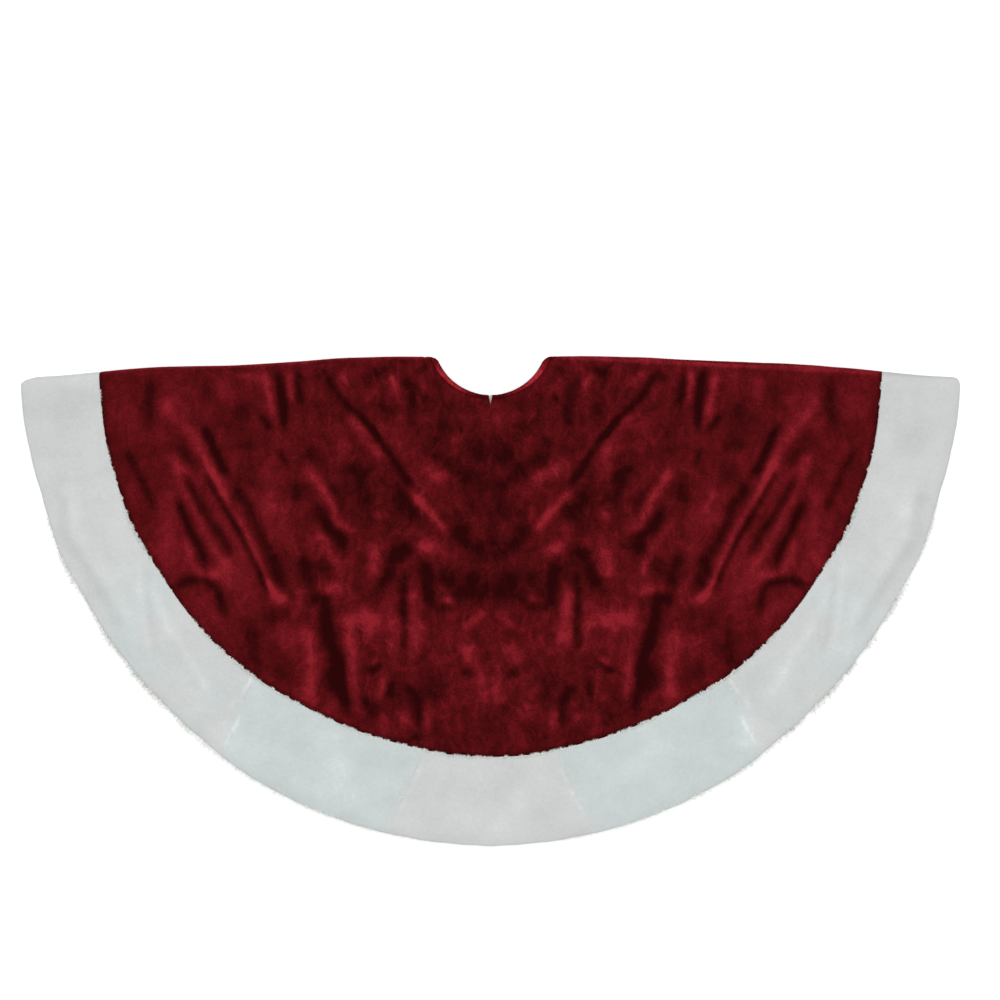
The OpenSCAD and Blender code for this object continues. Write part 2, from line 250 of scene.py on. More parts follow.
# Patches where the nap lies another way, in the same form
NAP_PATCHES = [
    ([(-35.0, -3.0), (-34.4, -6.0)], 0.8, 0.5),
    ([(-31.0, -2.6), (-31.2, -3.6)], 1.0, 0.6),
    ([(-37.0, -4.0), (-36.8, -6.6)], 0.8, -0.5),
    ([(-32.2, -6.4), (-31.8, -8.4)], 0.7, -0.6),
    ([(-33.0, -12.0), (-30.0, -11.8)], 0.6, -0.7),
    ([(-31.0, -14.0), (-31.0, -17.4)], 1.0, -0.5),
    ([(-25.2, -16.6), (-25.0, -19.4)], 0.9, -0.9),
    ([(-23.6, -12.4), (-23.0, -13.2)], 0.8, -0.8),
    ([(-28.0, -19.0), (-27.0, -24.0)], 1.6, 0.4),
    ([(-42.0, -17.6), (-42.0, -28.0)], 1.4, 0.5),
    ([(-33.0, -25.0), (-32.0, -33.0)], 1.6, 0.4),
    ([(-22.6, -2.6), (-22.0, -3.4)], 0.7, -0.9),
    ([(-19.2, -3.6), (-18.6, -3.0)], 0.9, 0.6),
    ([(-9.2, -1.6), (-8.6, -2.4)], 0.7, -0.9),
    ([(-14.2, -6.0), (-13.4, -8.0)], 0.8, -0.7),
    ([(-20.0, -9.0), (-19.0, -13.0)], 1.2, 0.3),
    ([(-18.6, -15.2), (-17.4, -14.6)], 0.6, -0.7),
    ([(-8.8, -5.8), (-8.0, -5.8)], 0.5, -0.7),
    ([(-7.6, -11.2), (-6.8, -11.6)], 0.6, -0.9),
    ([(-1.8, -11.2), (0.0, -12.4)], 0.9, -0.6),
    ([(-4.0, -7.8), (0.0, -8.4)], 1.2, 0.3),
    ([(-8.0, -5.2), (-5.6, -6.8), (-3.0, -7.0)], 0.8, -0.4),
    ([(-7.0, -9.4), (-3.0, -9.6)], 1.0, -0.6),
    ([(-3.2, -12.6), (0.0, -13.6)], 1.0, -0.8),
    ([(-3.0, -18.6), (0.0, -21.6), (0.0, -25.6)], 1.5, -0.6),
    ([(-8.4, -25.0), (-6.6, -25.6)], 0.7, 0.6),
    ([(-4.6, -10.8), (-5.2, -11.4)], 0.7, 0.5),
    ([(-3.0, -15.0), (-1.4, -14.6)], 1.4, -0.3),
    ([(-5.0, -21.0), (-3.0, -21.0)], 1.0, -0.4),
    ([(-14.8, -20.4), (-14.8, -21.4)], 0.6, 0.8),
    ([(-13.0, -21.0), (-12.4, -23.0)], 0.9, -0.5),
    ([(-22.4, -26.6), (-21.4, -28.4)], 1.0, -0.9),
    ([(-12.0, -25.6), (-11.2, -26.4)], 0.8, -0.8),
    ([(-24.8, -30.4), (-24.7, -32.6)], 0.5, 0.6),
    ([(-21.6, -30.6), (-19.0, -30.6)], 0.8, 1.0),
    ([(-6.4, -28.6), (-4.6, -29.4)], 0.8, -0.8),
    ([(-2.8, -28.4), (-2.2, -30.0)], 0.8, -0.7),
    ([(-3.4, -31.0), (0.0, -31.0)], 0.9, -0.9),
    ([(-5.6, -31.4), (-5.5, -32.2)], 0.5, 1.4),
    ([(-7.4, -33.0), (-5.0, -32.9)], 0.5, -1.0),
    ([(-6.0, -30.6), (0.0, -29.0)], 2.2, -0.6),
    ([(-0.8, -33.4), (-2.0, -34.4), (-3.6, -35.6)], 0.5, 0.9),
    ([(-12.4, -33.6), (-12.2, -36.0), (-13.0, -39.4)], 1.3, 0.7),
    ([(-16.8, -36.0), (-15.0, -36.0)], 1.6, 0.5),
    ([(-5.4, -36.0), (-5.0, -40.0)], 1.3, 0.2),
    ([(-7.6, -41.4), (-7.0, -45.4)], 1.0, -0.7),
    ([(-5.4, -43.0), (-4.6, -47.6)], 1.0, 0.3),
    ([(-27.4, -37.4), (-25.0, -37.0)], 1.1, 0.6),
    ([(-28.0, -41.0), (-26.0, -41.4)], 1.2, -0.5),
    ([(-31.0, -35.2), (-31.0, -40.6)], 0.9, -0.9),
    ([(-29.4, -34.4), (-25.4, -33.6)], 0.8, -0.5),
    ([(-11.6, -46.8), (-10.6, -47.4)], 0.8, 0.6),
    ([(-10.4, -49.4), (-6.4, -49.4)], 0.8, -0.4),
    ([(-21.0, -46.2), (-20.0, -44.8)], 0.7, 0.4),
    ([(-41.5, -5.0), (-39.6, -8.6)], 1.8, 0.35),
    ([(-33.4, -7.4), (-31.4, -12.0)], 2.2, -0.35),
    ([(-35.6, -27.0), (-34.0, -30.4)], 1.2, 0.4),
    ([(-28.8, -17.6), (-28.4, -21.0)], 1.2, 0.35),
]
# Folds of the fur border, in the same form: a valley sinks with painted shade, a ridge rises with a painted
# highlight
BORDER_PLEATS_WITH_PAINTED_LIGHT = [
    ([(-45.7, -27.3), (-45.1, -32.2), (-44.2, -38.9)], 0.6, 0.6),
    ([(-44.8, -28.0), (-44.3, -34.0), (-43.5, -38.5)], 0.6, -0.6),
    ([(-44.4, -29.3), (-41.5, -35.8), (-38.9, -39.7), (-36.3, -44.4)], 0.6, 0.5),
    ([(-55.8, -17.7), (-55.0, -24.2), (-51.1, -30.1), (-47.7, -35.8)], 0.8, -0.8),
    ([(-54.8, -17.0), (-53.8, -23.8), (-50.0, -29.6), (-46.8, -35.0)], 1.0, 0.45),
    ([(-51.4, -17.5), (-51.0, -19.0)], 1.0, 0.3),
    ([(-35.0, -47.0), (-32.0, -51.0)], 1.2, 0.4),
    ([(-23.0, -50.0), (-18.0, -55.5)], 1.6, 0.4),
    ([(-6.0, -57.0), (-3.0, -60.0)], 1.4, 0.3),
]
# Pale ridges where the border's lengths join
JOINT_RIDGES = [
    ([(-30.9, -42.0), (-31.5, -43.1), (-32.2, -44.0)], 0.20, 0.9),
    ([(-32.9, -44.7), (-33.4, -45.4), (-33.6, -46.3)], 0.25, 0.7),
    ([(-32.5, -46.9), (-32.9, -48.0), (-33.4, -49.0)], 0.20, 0.9),
    ([(-33.6, -49.2), (-34.0, -49.9), (-34.3, -50.6)], 0.20, 0.5),
    ([(-9.0, -53.6), (-9.6, -54.8), (-10.0, -55.6)], 0.25, 0.5),
    ([(-10.1, -56.4), (-10.8, -57.3)], 0.30, 0.6),
    ([(-11.0, -57.8), (-11.4, -58.6), (-12.0, -59.4)], 0.25, 0.5),
]
# The far sides of the border lie in a little more shade
BORDER_PATCHES = [
    ([(-54.5, -4.0), (-54.5, -14.0)], 4.0, -0.55),
]
# The turned edge round the trunk opening: a painted highlight on its flanks, and painted shade
# at the bottom and near the corner
BINDING_PAINTED_LIGHT = [
    ([(-6.6, -2.0), (-5.6, -3.4), (-4.2, -4.6)], 1.0, 0.7),
    ([(-8.4, -0.3), (-7.4, -0.8)], 0.8, -1.0),
    ([(-2.2, -5.2), (0.0, -5.4)], 1.2, -0.9),
]
# A pleat rises or sinks by a share of its half width, up to a limit
RELIEF_SHARE = 0.30
MOST_RELIEF = 0.0028
# A stroke fades out over this length at its ends
FADE_OUT = 0.022
# The plush is fully crushed near the middle, and towards the sides it loses a share of that
CRUSHED_TO = 0.14
CRUSH_FADE = 0.22
CRUSH_LOST = 0.35
SIDE_BRIGHTER = 0.6
# Widths of the pile's slow swells and of the drifts in its nap, and how strong the drifts are
BROAD_SWELL_W = 0.11
FINE_SWELL_W = 0.045
NAP_DRIFT_W = 0.07
NAP_DRIFT = 0.16


def stroke_profile(x, y, points, half_width):
    """1 on a line through the points, falling smoothly to 0 beside it and at its ends."""
    points = np.array(points)
    starts, ends = points[:-1], points[1:]
    steps = np.linalg.norm(ends - starts, axis=1)
    run = np.concatenate([[0], np.cumsum(steps)])
    nearest = np.full(np.shape(x), np.inf)
    along = np.zeros(np.shape(x))
    for start, end, length, before in zip(starts, ends, steps, run):
        way = (end - start) / length
        t = np.clip((x - start[0]) * way[0] + (y - start[1]) * way[1], 0, length)
        distance = np.hypot(x - start[0] - t * way[0], y - start[1] - t * way[1])
        closer = distance < nearest
        nearest = np.where(closer, distance, nearest)
        along = np.where(closer, before + t, along)
    taper = min(FADE_OUT, 0.35 * run[-1])
    ends_fade = smooth(along / taper + 0.4) * smooth((run[-1] - along) / taper + 0.4)
    return np.exp(-(nearest / half_width) ** 2 * math.log(2)) * ends_fade


def crushed(x):
    """How far the plush is crushed: all the way near the middle, and less towards the sides."""
    return 1 - CRUSH_LOST * smooth((np.abs(x) - CRUSHED_TO) / CRUSH_FADE)


def stroke_profiles(x, y, strokes):
    """Each stroke's half width in centimetres, and its strength at every point."""
    for points, half_width, strength in strokes:
        yield half_width, strength * stroke_profile(x, y, np.array(points) * CM, half_width * CM)


def relief_and_nap_with_painted_light(x, y, pleats_with_painted_light, patches, swell, side_tone):
    """How far the pleat strokes and slow swells raise the pile, and the nap's tone: its drifts and
    patches, with painted shade in the valleys and painted highlights on the ridges.
    """
    mirrored = -np.abs(x)
    relief = swell * noise(mirrored, y, BROAD_SWELL_W, seed=3)
    relief = relief + 0.4 * swell * noise(mirrored, y, FINE_SWELL_W, seed=4)
    nap_and_painted_light = NAP_DRIFT * noise(mirrored, y, NAP_DRIFT_W, seed=5) + side_tone * (1 - crushed(x))
    # Each pleat raises or sinks the pile, and paints shade along its valleys and highlights along its ridges
    for half_width, profile in stroke_profiles(mirrored, y, pleats_with_painted_light):
        relief = relief + min(MOST_RELIEF, RELIEF_SHARE * half_width * CM) * profile
        nap_and_painted_light = nap_and_painted_light + profile
    # Patches turn the tone too: on the plush where the nap lies another way, on the border and the binding
    # as painted shade and highlights
    for _half_width, profile in stroke_profiles(mirrored, y, patches):
        nap_and_painted_light = nap_and_painted_light + profile
    return relief, nap_and_painted_light


# ---------------------------------------------------------------- lines across a piece

def rim(radius, steps=5):
    """Distances from a rounded edge that follow its curve. No radius gives the edge alone."""
    if not radius:
        return np.zeros(1)
    return radius * (1 - np.cos(np.linspace(0, math.pi / 2, steps + 1)))


def centre_line(side, inner, outer):
    """Lines near the centre seam, at a distance to one side of it."""
    return lambda d: (side * math.asin(d / inner[1]), side * math.asin(d / outer[1]))


def joint_line(joint, side, way, inner, outer):
    """Lines near a border joint, at a distance to the right (way 1) or left (way -1) of it."""
    return lambda d: (side * joint[0] + way * d / inner[1], side * joint[1] + way * d / outer[1])


def edge_line(side, inset, inner, outer, way=1):
    """Lines parallel to a straight edge, at a distance from the one that lies inset inside it,
    further inside (way 1) or back towards the edge (way -1)."""
    return lambda d: (side * edge_angle(inner, inset + way * d),
                      side * edge_angle(outer, inset + way * d))


class Lines:
    """The lines of a piece: angles on its inner and outer arc, turn round the fold (0 on the
    front half, pi on the back half) and distances from its first and last line."""

    def __init__(self, angles, turn, from_first, from_last):
        self.angles = np.array(angles)
        self.turn = np.broadcast_to(turn, len(self.angles)).astype(float)
        self.from_first = np.broadcast_to(from_first, len(self.angles)).astype(float)
        self.from_last = np.broadcast_to(from_last, len(self.angles)).astype(float)

    def __add__(self, other):
        return Lines(np.concatenate([self.angles, other.angles]),
                     np.concatenate([self.turn, other.turn]),
                     np.concatenate([self.from_first, other.from_first]),
                     np.concatenate([self.from_last, other.from_last]))


def lines(first, last, first_rim, last_rim, step, outer, turn=0.0):
    """Lines from one boundary to another, closer together on rounded rims."""
    d_first, d_last = rim(first_rim), rim(last_rim)[::-1]
    from_angles, to_angles = np.array(first(d_first[-1])), np.array(last(d_last[0]))
    width = abs(to_angles[1] - from_angles[1]) * outer[1]
    count = max(3, int(width / step))
    shares = np.linspace(0, 1, count + 1)[1:-1, None]
    between = from_angles + shares * (to_angles - from_angles)
    angles = [first(d) for d in d_first] + list(between) + [last(d) for d in d_last]
    near_first = np.full(len(angles), FAR)
    near_last = np.full(len(angles), FAR)
    if first_rim:
        near_first[:len(d_first)] = d_first
    if last_rim:
        near_last[-len(d_last):] = d_last
    return Lines(angles, turn, near_first, near_last)


def folded_lines(first, first_rim, step, inner, outer):
    """Lines from a boundary on the back half, round the fold, to the same one on the front."""
    fold = edge_line(-1, ROLL_R, inner, outer)
    back = lines(first, fold, first_rim, 0, max(step, BACK_STEP), outer, math.pi)
    front = lines(fold, first, 0, first_rim, step, outer)
    roll = Lines([fold(0)] * len(ROLL_TURNS), ROLL_TURNS, FAR, FAR)
    return back + roll + front


# ---------------------------------------------------------------- the outline's small shapes

HEM_CORNER_R = 0.009
NECK_CORNER_R = 0.009
NECK_FLARE = 0.0045
NECK_GAP_W = 0.0050
NECK_GAP_DEPTH = 0.013
NECK_GAP_REACH = 0.02
BOW_FADE = 0.045
HEM_WANDER = 0.0006
HEM_WANDER_ANGLE = 0.03
# The lining follows a share of the hem's inset
LINING_FOLLOWS = 0.6

# How far the hem lies inside its arc, at angles in degrees from straight down
HEM_INSETS = [(0, .0005), (6, .0020), (20, .0025), (32, .0045), (40, .0105), (58, .0100),
              (64, .0085), (68, .0055), (75, .0085), (80, .0045), (84, .0020), (90, .0)]
# How far the seam wanders outside its arc, at angles in degrees from straight down
SEAM_SHIFTS = [(0, .0013), (6, .0015), (12, -.0018), (30, -.0025), (36, .0003), (47, .0024),
               (55, .0002), (60, .0010), (66, .0045), (72, .0024), (77, .0042), (83, .0026),
               (88, .0034)]
# How far the straight edges bow outwards, at distances from the origin
EDGE_BOW = [(.06, -.0010), (.10, .0018), (.13, .0035), (.20, .0052), (.24, .0034), (.30, .0024),
            (.34, .0022), (.37, .0036), (.43, .0056), (.47, .0048), (.51, .0026), (.56, .0)]
# How much further the back half's slit edge bows. It keeps clear of the front one beside the
# trunk opening, and shows past it further out
SLIT_PEEK = [(.06, -.0030), (.11, -.0030), (.14, .0), (.20, .0010), (.27, .0030), (.33, .0044),
             (.38, .0034), (.46, .0)]


def along_points(value, points):
    """Reads a rounded line through (place, height) points."""
    places, heights = zip(*points)
    reach = (places[-1] - places[0]) / 45
    return sum(np.interp(value + shift, places, heights) for shift in (-reach, 0, reach)) / 3


def corner_cut(distance, radius):
    """How far a rounded corner starts inside, at a distance from the edge beside it."""
    over = np.clip(radius - distance, 0, radius)
    return radius - np.sqrt(radius ** 2 - over ** 2)


# Each function below says how far a line starts inside an arc. angle is the line's angle on the
# arc, and beside is its distance from the outside of the straight edge

def no_cut(angle, beside):
    return np.zeros(len(angle))


def neck_cut(angle, beside):
    return corner_cut(beside, NECK_CORNER_R)


def binding_in(angle, beside):
    """The binding widens towards the ends of the trunk opening."""
    return corner_cut(beside, NECK_CORNER_R) - NECK_FLARE * (angle / edge_angle(NECK, 0)) ** 2


def binding_out(angle, beside):
    return -corner_cut(beside, NECK_CORNER_R)


def seam_in(angle, beside=None):
    return along_points(np.degrees(np.abs(angle)), SEAM_SHIFTS)


def seam_out(angle, beside):
    return -seam_in(angle)


def hem_inset(angle):
    """How far the hem lies inside its arc."""
    wander = HEM_WANDER * noise(np.abs(angle), 0 * angle, HEM_WANDER_ANGLE, seed=11)
    return along_points(np.degrees(np.abs(angle)), HEM_INSETS) + wander


def hem_cut(angle, beside):
    return corner_cut(beside, HEM_CORNER_R) + hem_inset(angle)


def lining_cut(angle, beside):
    return corner_cut(beside, HEM_CORNER_R) + LINING_FOLLOWS * hem_inset(angle)


def edge_distance(x, y, inset):
    """Distance inside the line that runs inset inside the straight edge on the point's side."""
    return -(np.abs(x) * math.sin(FALL) + y * math.cos(FALL)) - inset


def from_outside(x, y, turn):
    """Distance of the cloth from the outside of the straight edge."""
    rolled = (turn > 0) & (turn < math.pi)
    return np.where(rolled, ROLL_R * (1 - np.sin(turn)), edge_distance(x, y, 0))


def shape_plan(plan, gap, turn):
    """Bows the straight edges out, and opens the small gap at the neck's centre seam."""
    x, y = plan[..., 0], plan[..., 1]
    side = -1.0 if x.mean() < 0 else 1.0
    outwards = np.array([side * math.sin(FALL), math.cos(FALL)])
    reach = np.hypot(x, y)
    near_edge = smooth(1 - edge_distance(x, y, 0) / BOW_FADE)
    bow = along_points(reach, EDGE_BOW)
    if side > 0:
        bow = bow + along_points(reach, SLIT_PEEK) * (turn > math.pi / 2)[:, None]
    plan = plan + outwards * (bow * near_edge)[..., None]
    if gap:
        depth = NECK[0] - NECK[1] - y
        opening = NECK_GAP_W / 2 * np.clip(1 - depth / NECK_GAP_DEPTH, 0, 1)
        plan[..., 0] += side * opening * np.clip(1 - np.abs(x) / NECK_GAP_REACH, 0, 1)
    return plan


# ---------------------------------------------------------------- building a sheet

# The border's tint changes over a small angle at its joints, and is patchy beyond the far ones
COOL_FADE = math.radians(2.0)
PATCHY_TO = math.radians(64)
PATCHY_FADE = math.radians(12)
PATCH_W = 0.04
# Widths of the painted shade along the seam, the painted light along the straight edges,
# the droop at the hem and the strip beside the straight edges where pleat strokes and swells die away
PAINTED_SEAM_SHADE_W = 0.008
PAINTED_EDGE_LIGHT_W = 0.005
DROOP_W = 0.013
RELIEF_FADE = 0.014
# The plush is pressed along the slit, a little past the facing
PRESSED_PAST_FACING = 0.004
PRESSED_FADE = 0.006


def rounded(distance, radius, depth):
    """1 inside a piece, falling to 1 - depth at its edge, like a quarter circle."""
    if not radius:
        return np.ones_like(distance)
    short = 1 - np.clip(distance / radius, 0, 1)
    return 1 - depth * (1 - np.sqrt(np.clip(1 - short ** 2, 0, 1)))


def mesh_object(name, verts, faces, smooth_shaded=True):
    mesh = bpy.data.meshes.new(name)
    if isinstance(faces, np.ndarray):
        faces = faces.tolist()
    mesh.from_pydata(np.asarray(verts).tolist(), [], faces)
    if smooth_shaded:
        mesh.shade_smooth()
    obj = bpy.data.objects.new(name, mesh)
    bpy.context.scene.collection.objects.link(obj)
    return obj


def set_attribute(obj, name, values):
    """Gives each vertex a value, or a vector where values has rows."""
    is_vector = values.ndim == 2
    attribute = obj.data.attributes.new(name, "FLOAT_VECTOR" if is_vector else "FLOAT", "POINT")
    attribute.data.foreach_set("vector" if is_vector else "value",
                               values.astype(np.float32).ravel())


def set_on_layers(obj, name, grid):
    """Gives the upper and the lower layer the same grid of values or vectors."""
    values = grid.reshape(-1, 3) if grid.ndim == 3 else grid.ravel()
    set_attribute(obj, name, np.concatenate([values, values]))


def grid_faces(rows, columns):
    """Faces of a closed sheet: an upper grid, a lower grid and the walls between them."""
    upper = np.arange(rows * columns).reshape(rows, columns)
    lower = upper + rows * columns
    upper_quads = np.stack([upper[:-1, :-1], upper[:-1, 1:], upper[1:, 1:], upper[1:, :-1]], -1)
    lower_quads = np.stack([lower[:-1, :-1], lower[1:, :-1], lower[1:, 1:], lower[:-1, 1:]], -1)
    ring = np.concatenate([upper[0, :-1], upper[:-1, -1], upper[-1, :0:-1], upper[:0:-1, 0]])
    following = np.roll(ring, -1)
    walls = np.stack([following, ring, ring + rows * columns, following + rows * columns], -1)
    return np.concatenate([upper_quads.reshape(-1, 4), lower_quads.reshape(-1, 4), walls])


def face_outwards(verts, faces):
    """The faces in the order that makes the closed sheet's volume positive."""
    a, b, c, d = (verts[faces[:, k]] for k in range(4))
    volume = np.einsum("ij,ij->i", a, np.cross(b, c) + np.cross(c, d)).sum()
    return faces if volume > 0 else faces[:, ::-1]


def closed_sheet(name, upper, lower):
    """A closed mesh between two grids of points."""
    verts = np.concatenate([upper.reshape(-1, 3), lower.reshape(-1, 3)])
    return mesh_object(name, verts, face_outwards(verts, grid_faces(*upper.shape[:2])))


def coolness(x, y):
    """1 on the cooler lengths of the border, falling to 0 over their joints."""
    angle = np.arctan2(np.abs(x), SEAM[0] - y)
    share = (np.hypot(x, y - SEAM[0]) - SEAM[1]) / (HEM[1] - SEAM[1])
    near, far = (seam + share * (hem - seam) for seam, hem in (NEAR_JOINT, FAR_JOINT))
    beyond = smooth((angle - far) / COOL_FADE) * smooth((PATCHY_TO - angle) / PATCHY_FADE)
    patchy = 0.8 * beyond * smooth(0.5 + 0.8 * noise(np.abs(x), y, PATCH_W, seed=12))
    between = smooth((angle - near) / COOL_FADE + 0.5) * smooth((far - angle) / COOL_FADE + 0.5)
    return np.maximum(between, patchy)


def piece_lines(half, boundaries, arcs, rims, step):
    """The lines of a piece of one half, or of a piece that goes on round the fold."""
    if half == "folded":
        return folded_lines(*boundaries, rims[2][0], step, *arcs)
    return lines(*boundaries, rims[2][0], rims[3][0], step, arcs[1], TURNS[half])


def line_points(across, inner, outer, rims, step, cut_in, cut_out):
    """Level points along each line of a piece, with their distances from the line's two ends."""
    angles, turn = across.angles, across.turn
    starts, ends = arc_point(inner, angles[:, 0]), arc_point(outer, angles[:, 1])
    span = np.linalg.norm(ends - starts, axis=1)
    way = (ends - starts) / span[:, None]
    beside = from_outside(starts[:, 0], starts[:, 1], turn)
    start_cut, end_cut = cut_in(angles[:, 0], beside), cut_out(angles[:, 1], beside)
    length = span - start_cut - end_cut
    d_in, d_out = rim(rims[0][0]), rim(rims[1][0])[::-1]
    middle_count = max(2, int(np.max(length) / step))
    shares = np.linspace(0, 1, middle_count + 1)[1:-1]
    near = np.broadcast_to(d_in, (len(span), len(d_in)))
    middle = d_in[-1] + shares * (length[:, None] - d_in[-1] - d_out[0])
    down = np.concatenate([near, middle, length[:, None] - d_out], axis=1)
    plan = starts[:, None] + way[:, None] * (start_cut[:, None] + down)[..., None]
    return plan, down, length[:, None] - down


def round_fold(plan, turn, h):
    """Points at heights above the fold plane, turned with their lines round the fold."""
    outwards = np.array([-math.sin(FALL), math.cos(FALL)])
    rolled = h * np.sin(turn)[:, None]
    z = FOLD_Z + h * np.cos(turn)[:, None]
    return np.concatenate([plan + outwards * rolled[..., None], z[..., None]], -1)


def unfolded(plan, turn):
    """Where the cloth lies when the skirt is opened flat."""
    inwards = np.array([math.sin(FALL), -math.cos(FALL)])
    from_hinge = (plan - HINGE[:2]) @ inwards
    along = (plan - HINGE[:2]) @ FOLD_AXIS[:2]
    half_roll = ROLL_R * math.pi / 2
    flat_from_hinge = np.where((turn < math.pi / 2)[:, None], from_hinge + half_roll,
                               -from_hinge - half_roll)
    rolled = (turn > 0) & (turn < math.pi)
    flat_from_hinge = np.where(rolled[:, None], ROLL_R * (math.pi / 2 - turn)[:, None],
                               flat_from_hinge)
    return np.stack([along, flat_from_hinge, np.zeros_like(along)], -1)


def sheet_piece(name, half, boundaries, arcs, heights, rims, step, across_step=None, pleats_with_painted_light=(),
                patches=(), swell=0.0, cut_in=no_cut, cut_out=no_cut, gap=False, droop=0.0,
                pressed=0.0, painted_seam_shade=0.0, side_tone=0.0, painted_edge_light=0.0, bowed=True):
    """A closed sheet of cloth between two arcs and two heights above the fold plane.

    half is front, back or folded. boundaries are its first and last line, or the first alone
    where it goes on round the fold. rims gives the radius and depth of its rounded edges: inner
    arc, outer arc, first and last line. step is the grid's spacing, and across_step the spacing
    of its lines. cut_in and cut_out say how far it starts inside each arc. droop lowers its outer
    arc towards the fold plane, and pressed flattens its pile along the slit. painted_seam_shade
    paints shade on the nap along the outer arc, side_tone turns it where the plush is less
    crushed, and painted_edge_light paints light along the straight edges: a painted highlight
    above 0, painted shade below 0. A sheet that isn't bowed keeps them straight."""
    across = piece_lines(half, boundaries, arcs, rims, across_step or step)
    turn = across.turn
    plan, down, to_end = line_points(across, *arcs, rims, step, cut_in, cut_out)
    if bowed:
        plan = shape_plan(plan, gap, turn)
    x, y = plan[..., 0], plan[..., 1]

    arcs_rims = [rounded(down, *rims[0]), rounded(to_end, *rims[1])]
    line_rims = [np.broadcast_to(rounded(distances, *a_rim)[:, None], x.shape)
                 for distances, a_rim in ((across.from_first, rims[2]),
                                          (across.from_last, rims[3]))]
    full = np.minimum.reduce(arcs_rims + line_rims)

    relief, nap_and_painted_light = relief_and_nap_with_painted_light(x, y, pleats_with_painted_light, patches, swell, side_tone)
    # Painted shade on the nap along the seam
    nap_and_painted_light = nap_and_painted_light - painted_seam_shade * smooth(1 - to_end / PAINTED_SEAM_SHADE_W)
    relief = relief * (turn == 0)[:, None] * smooth(edge_distance(x, y, ROLL_R) / RELIEF_FADE)
    nap_and_painted_light = nap_and_painted_light * (turn < math.pi / 2)[:, None]
    # Painted light along the straight and rolled edges: a painted highlight for a strength above 0, painted
    # shade below 0
    nap_and_painted_light = nap_and_painted_light + painted_edge_light * smooth(1 - from_outside(x, y, turn[:, None]) / PAINTED_EDGE_LIGHT_W)
    if pressed:
        pressed_w = FACING_W + PRESSED_PAST_FACING
        relief = relief - pressed * smooth((pressed_w - edge_distance(x, y, 0)) / PRESSED_FADE)

    middle_h = (heights[0] + heights[1]) / 2 - droop * smooth(1 - to_end / DROOP_W)
    half_t = (heights[1] - heights[0]) / 2
    lower = round_fold(plan, turn, middle_h - half_t * full)
    obj = closed_sheet(name, round_fold(plan, turn, middle_h + (half_t + relief) * full), lower)
    obj["flat_area"] = sheet_area(lower)

    around = np.broadcast_to(turn[:, None] * ROLL_R, x.shape)
    # edge is the depth of the rounded rims, which the materials turn into painted shade
    grids = {"cloth": np.stack([x, y, around], -1), "flat": unfolded(plan, turn), "nap": nap_and_painted_light,
             "edge": 1 - full, "cool": coolness(x, y), "crushed": crushed(x)}
    for attribute, grid in grids.items():
        set_on_layers(obj, attribute, grid)
    return obj


def sheet_area(points):
    """Area of a grid of points."""
    a, b = points[1:, :-1] - points[:-1, :-1], points[:-1, 1:] - points[:-1, :-1]
    c, d = points[:-1, 1:] - points[1:, 1:], points[1:, :-1] - points[1:, 1:]
    halves = np.linalg.norm(np.cross(a, b), axis=-1) + np.linalg.norm(np.cross(c, d), axis=-1)
    return float(halves.sum() / 2)


def flat_size(obj):
    """Width and length of the smallest level rectangle that the unfolded piece fits in."""
    flat = np.zeros(len(obj.data.vertices) * 3, np.float32)
    obj.data.attributes["flat"].data.foreach_get("vector", flat)
    points = flat.reshape(-1, 3)[:, :2].astype(float)
    sizes = []
    for angle in np.linspace(0, math.pi / 2, 91):
        turned = points @ np.array([[math.cos(angle), -math.sin(angle)],
                                    [math.sin(angle), math.cos(angle)]])
        sizes.append(turned.max(0) - turned.min(0))
    return tuple(round(float(v), 3) for v in min(sizes, key=lambda size: size.prod()))


# ---------------------------------------------------------------- materials

WHITE = (1.0, 1.0, 1.0)


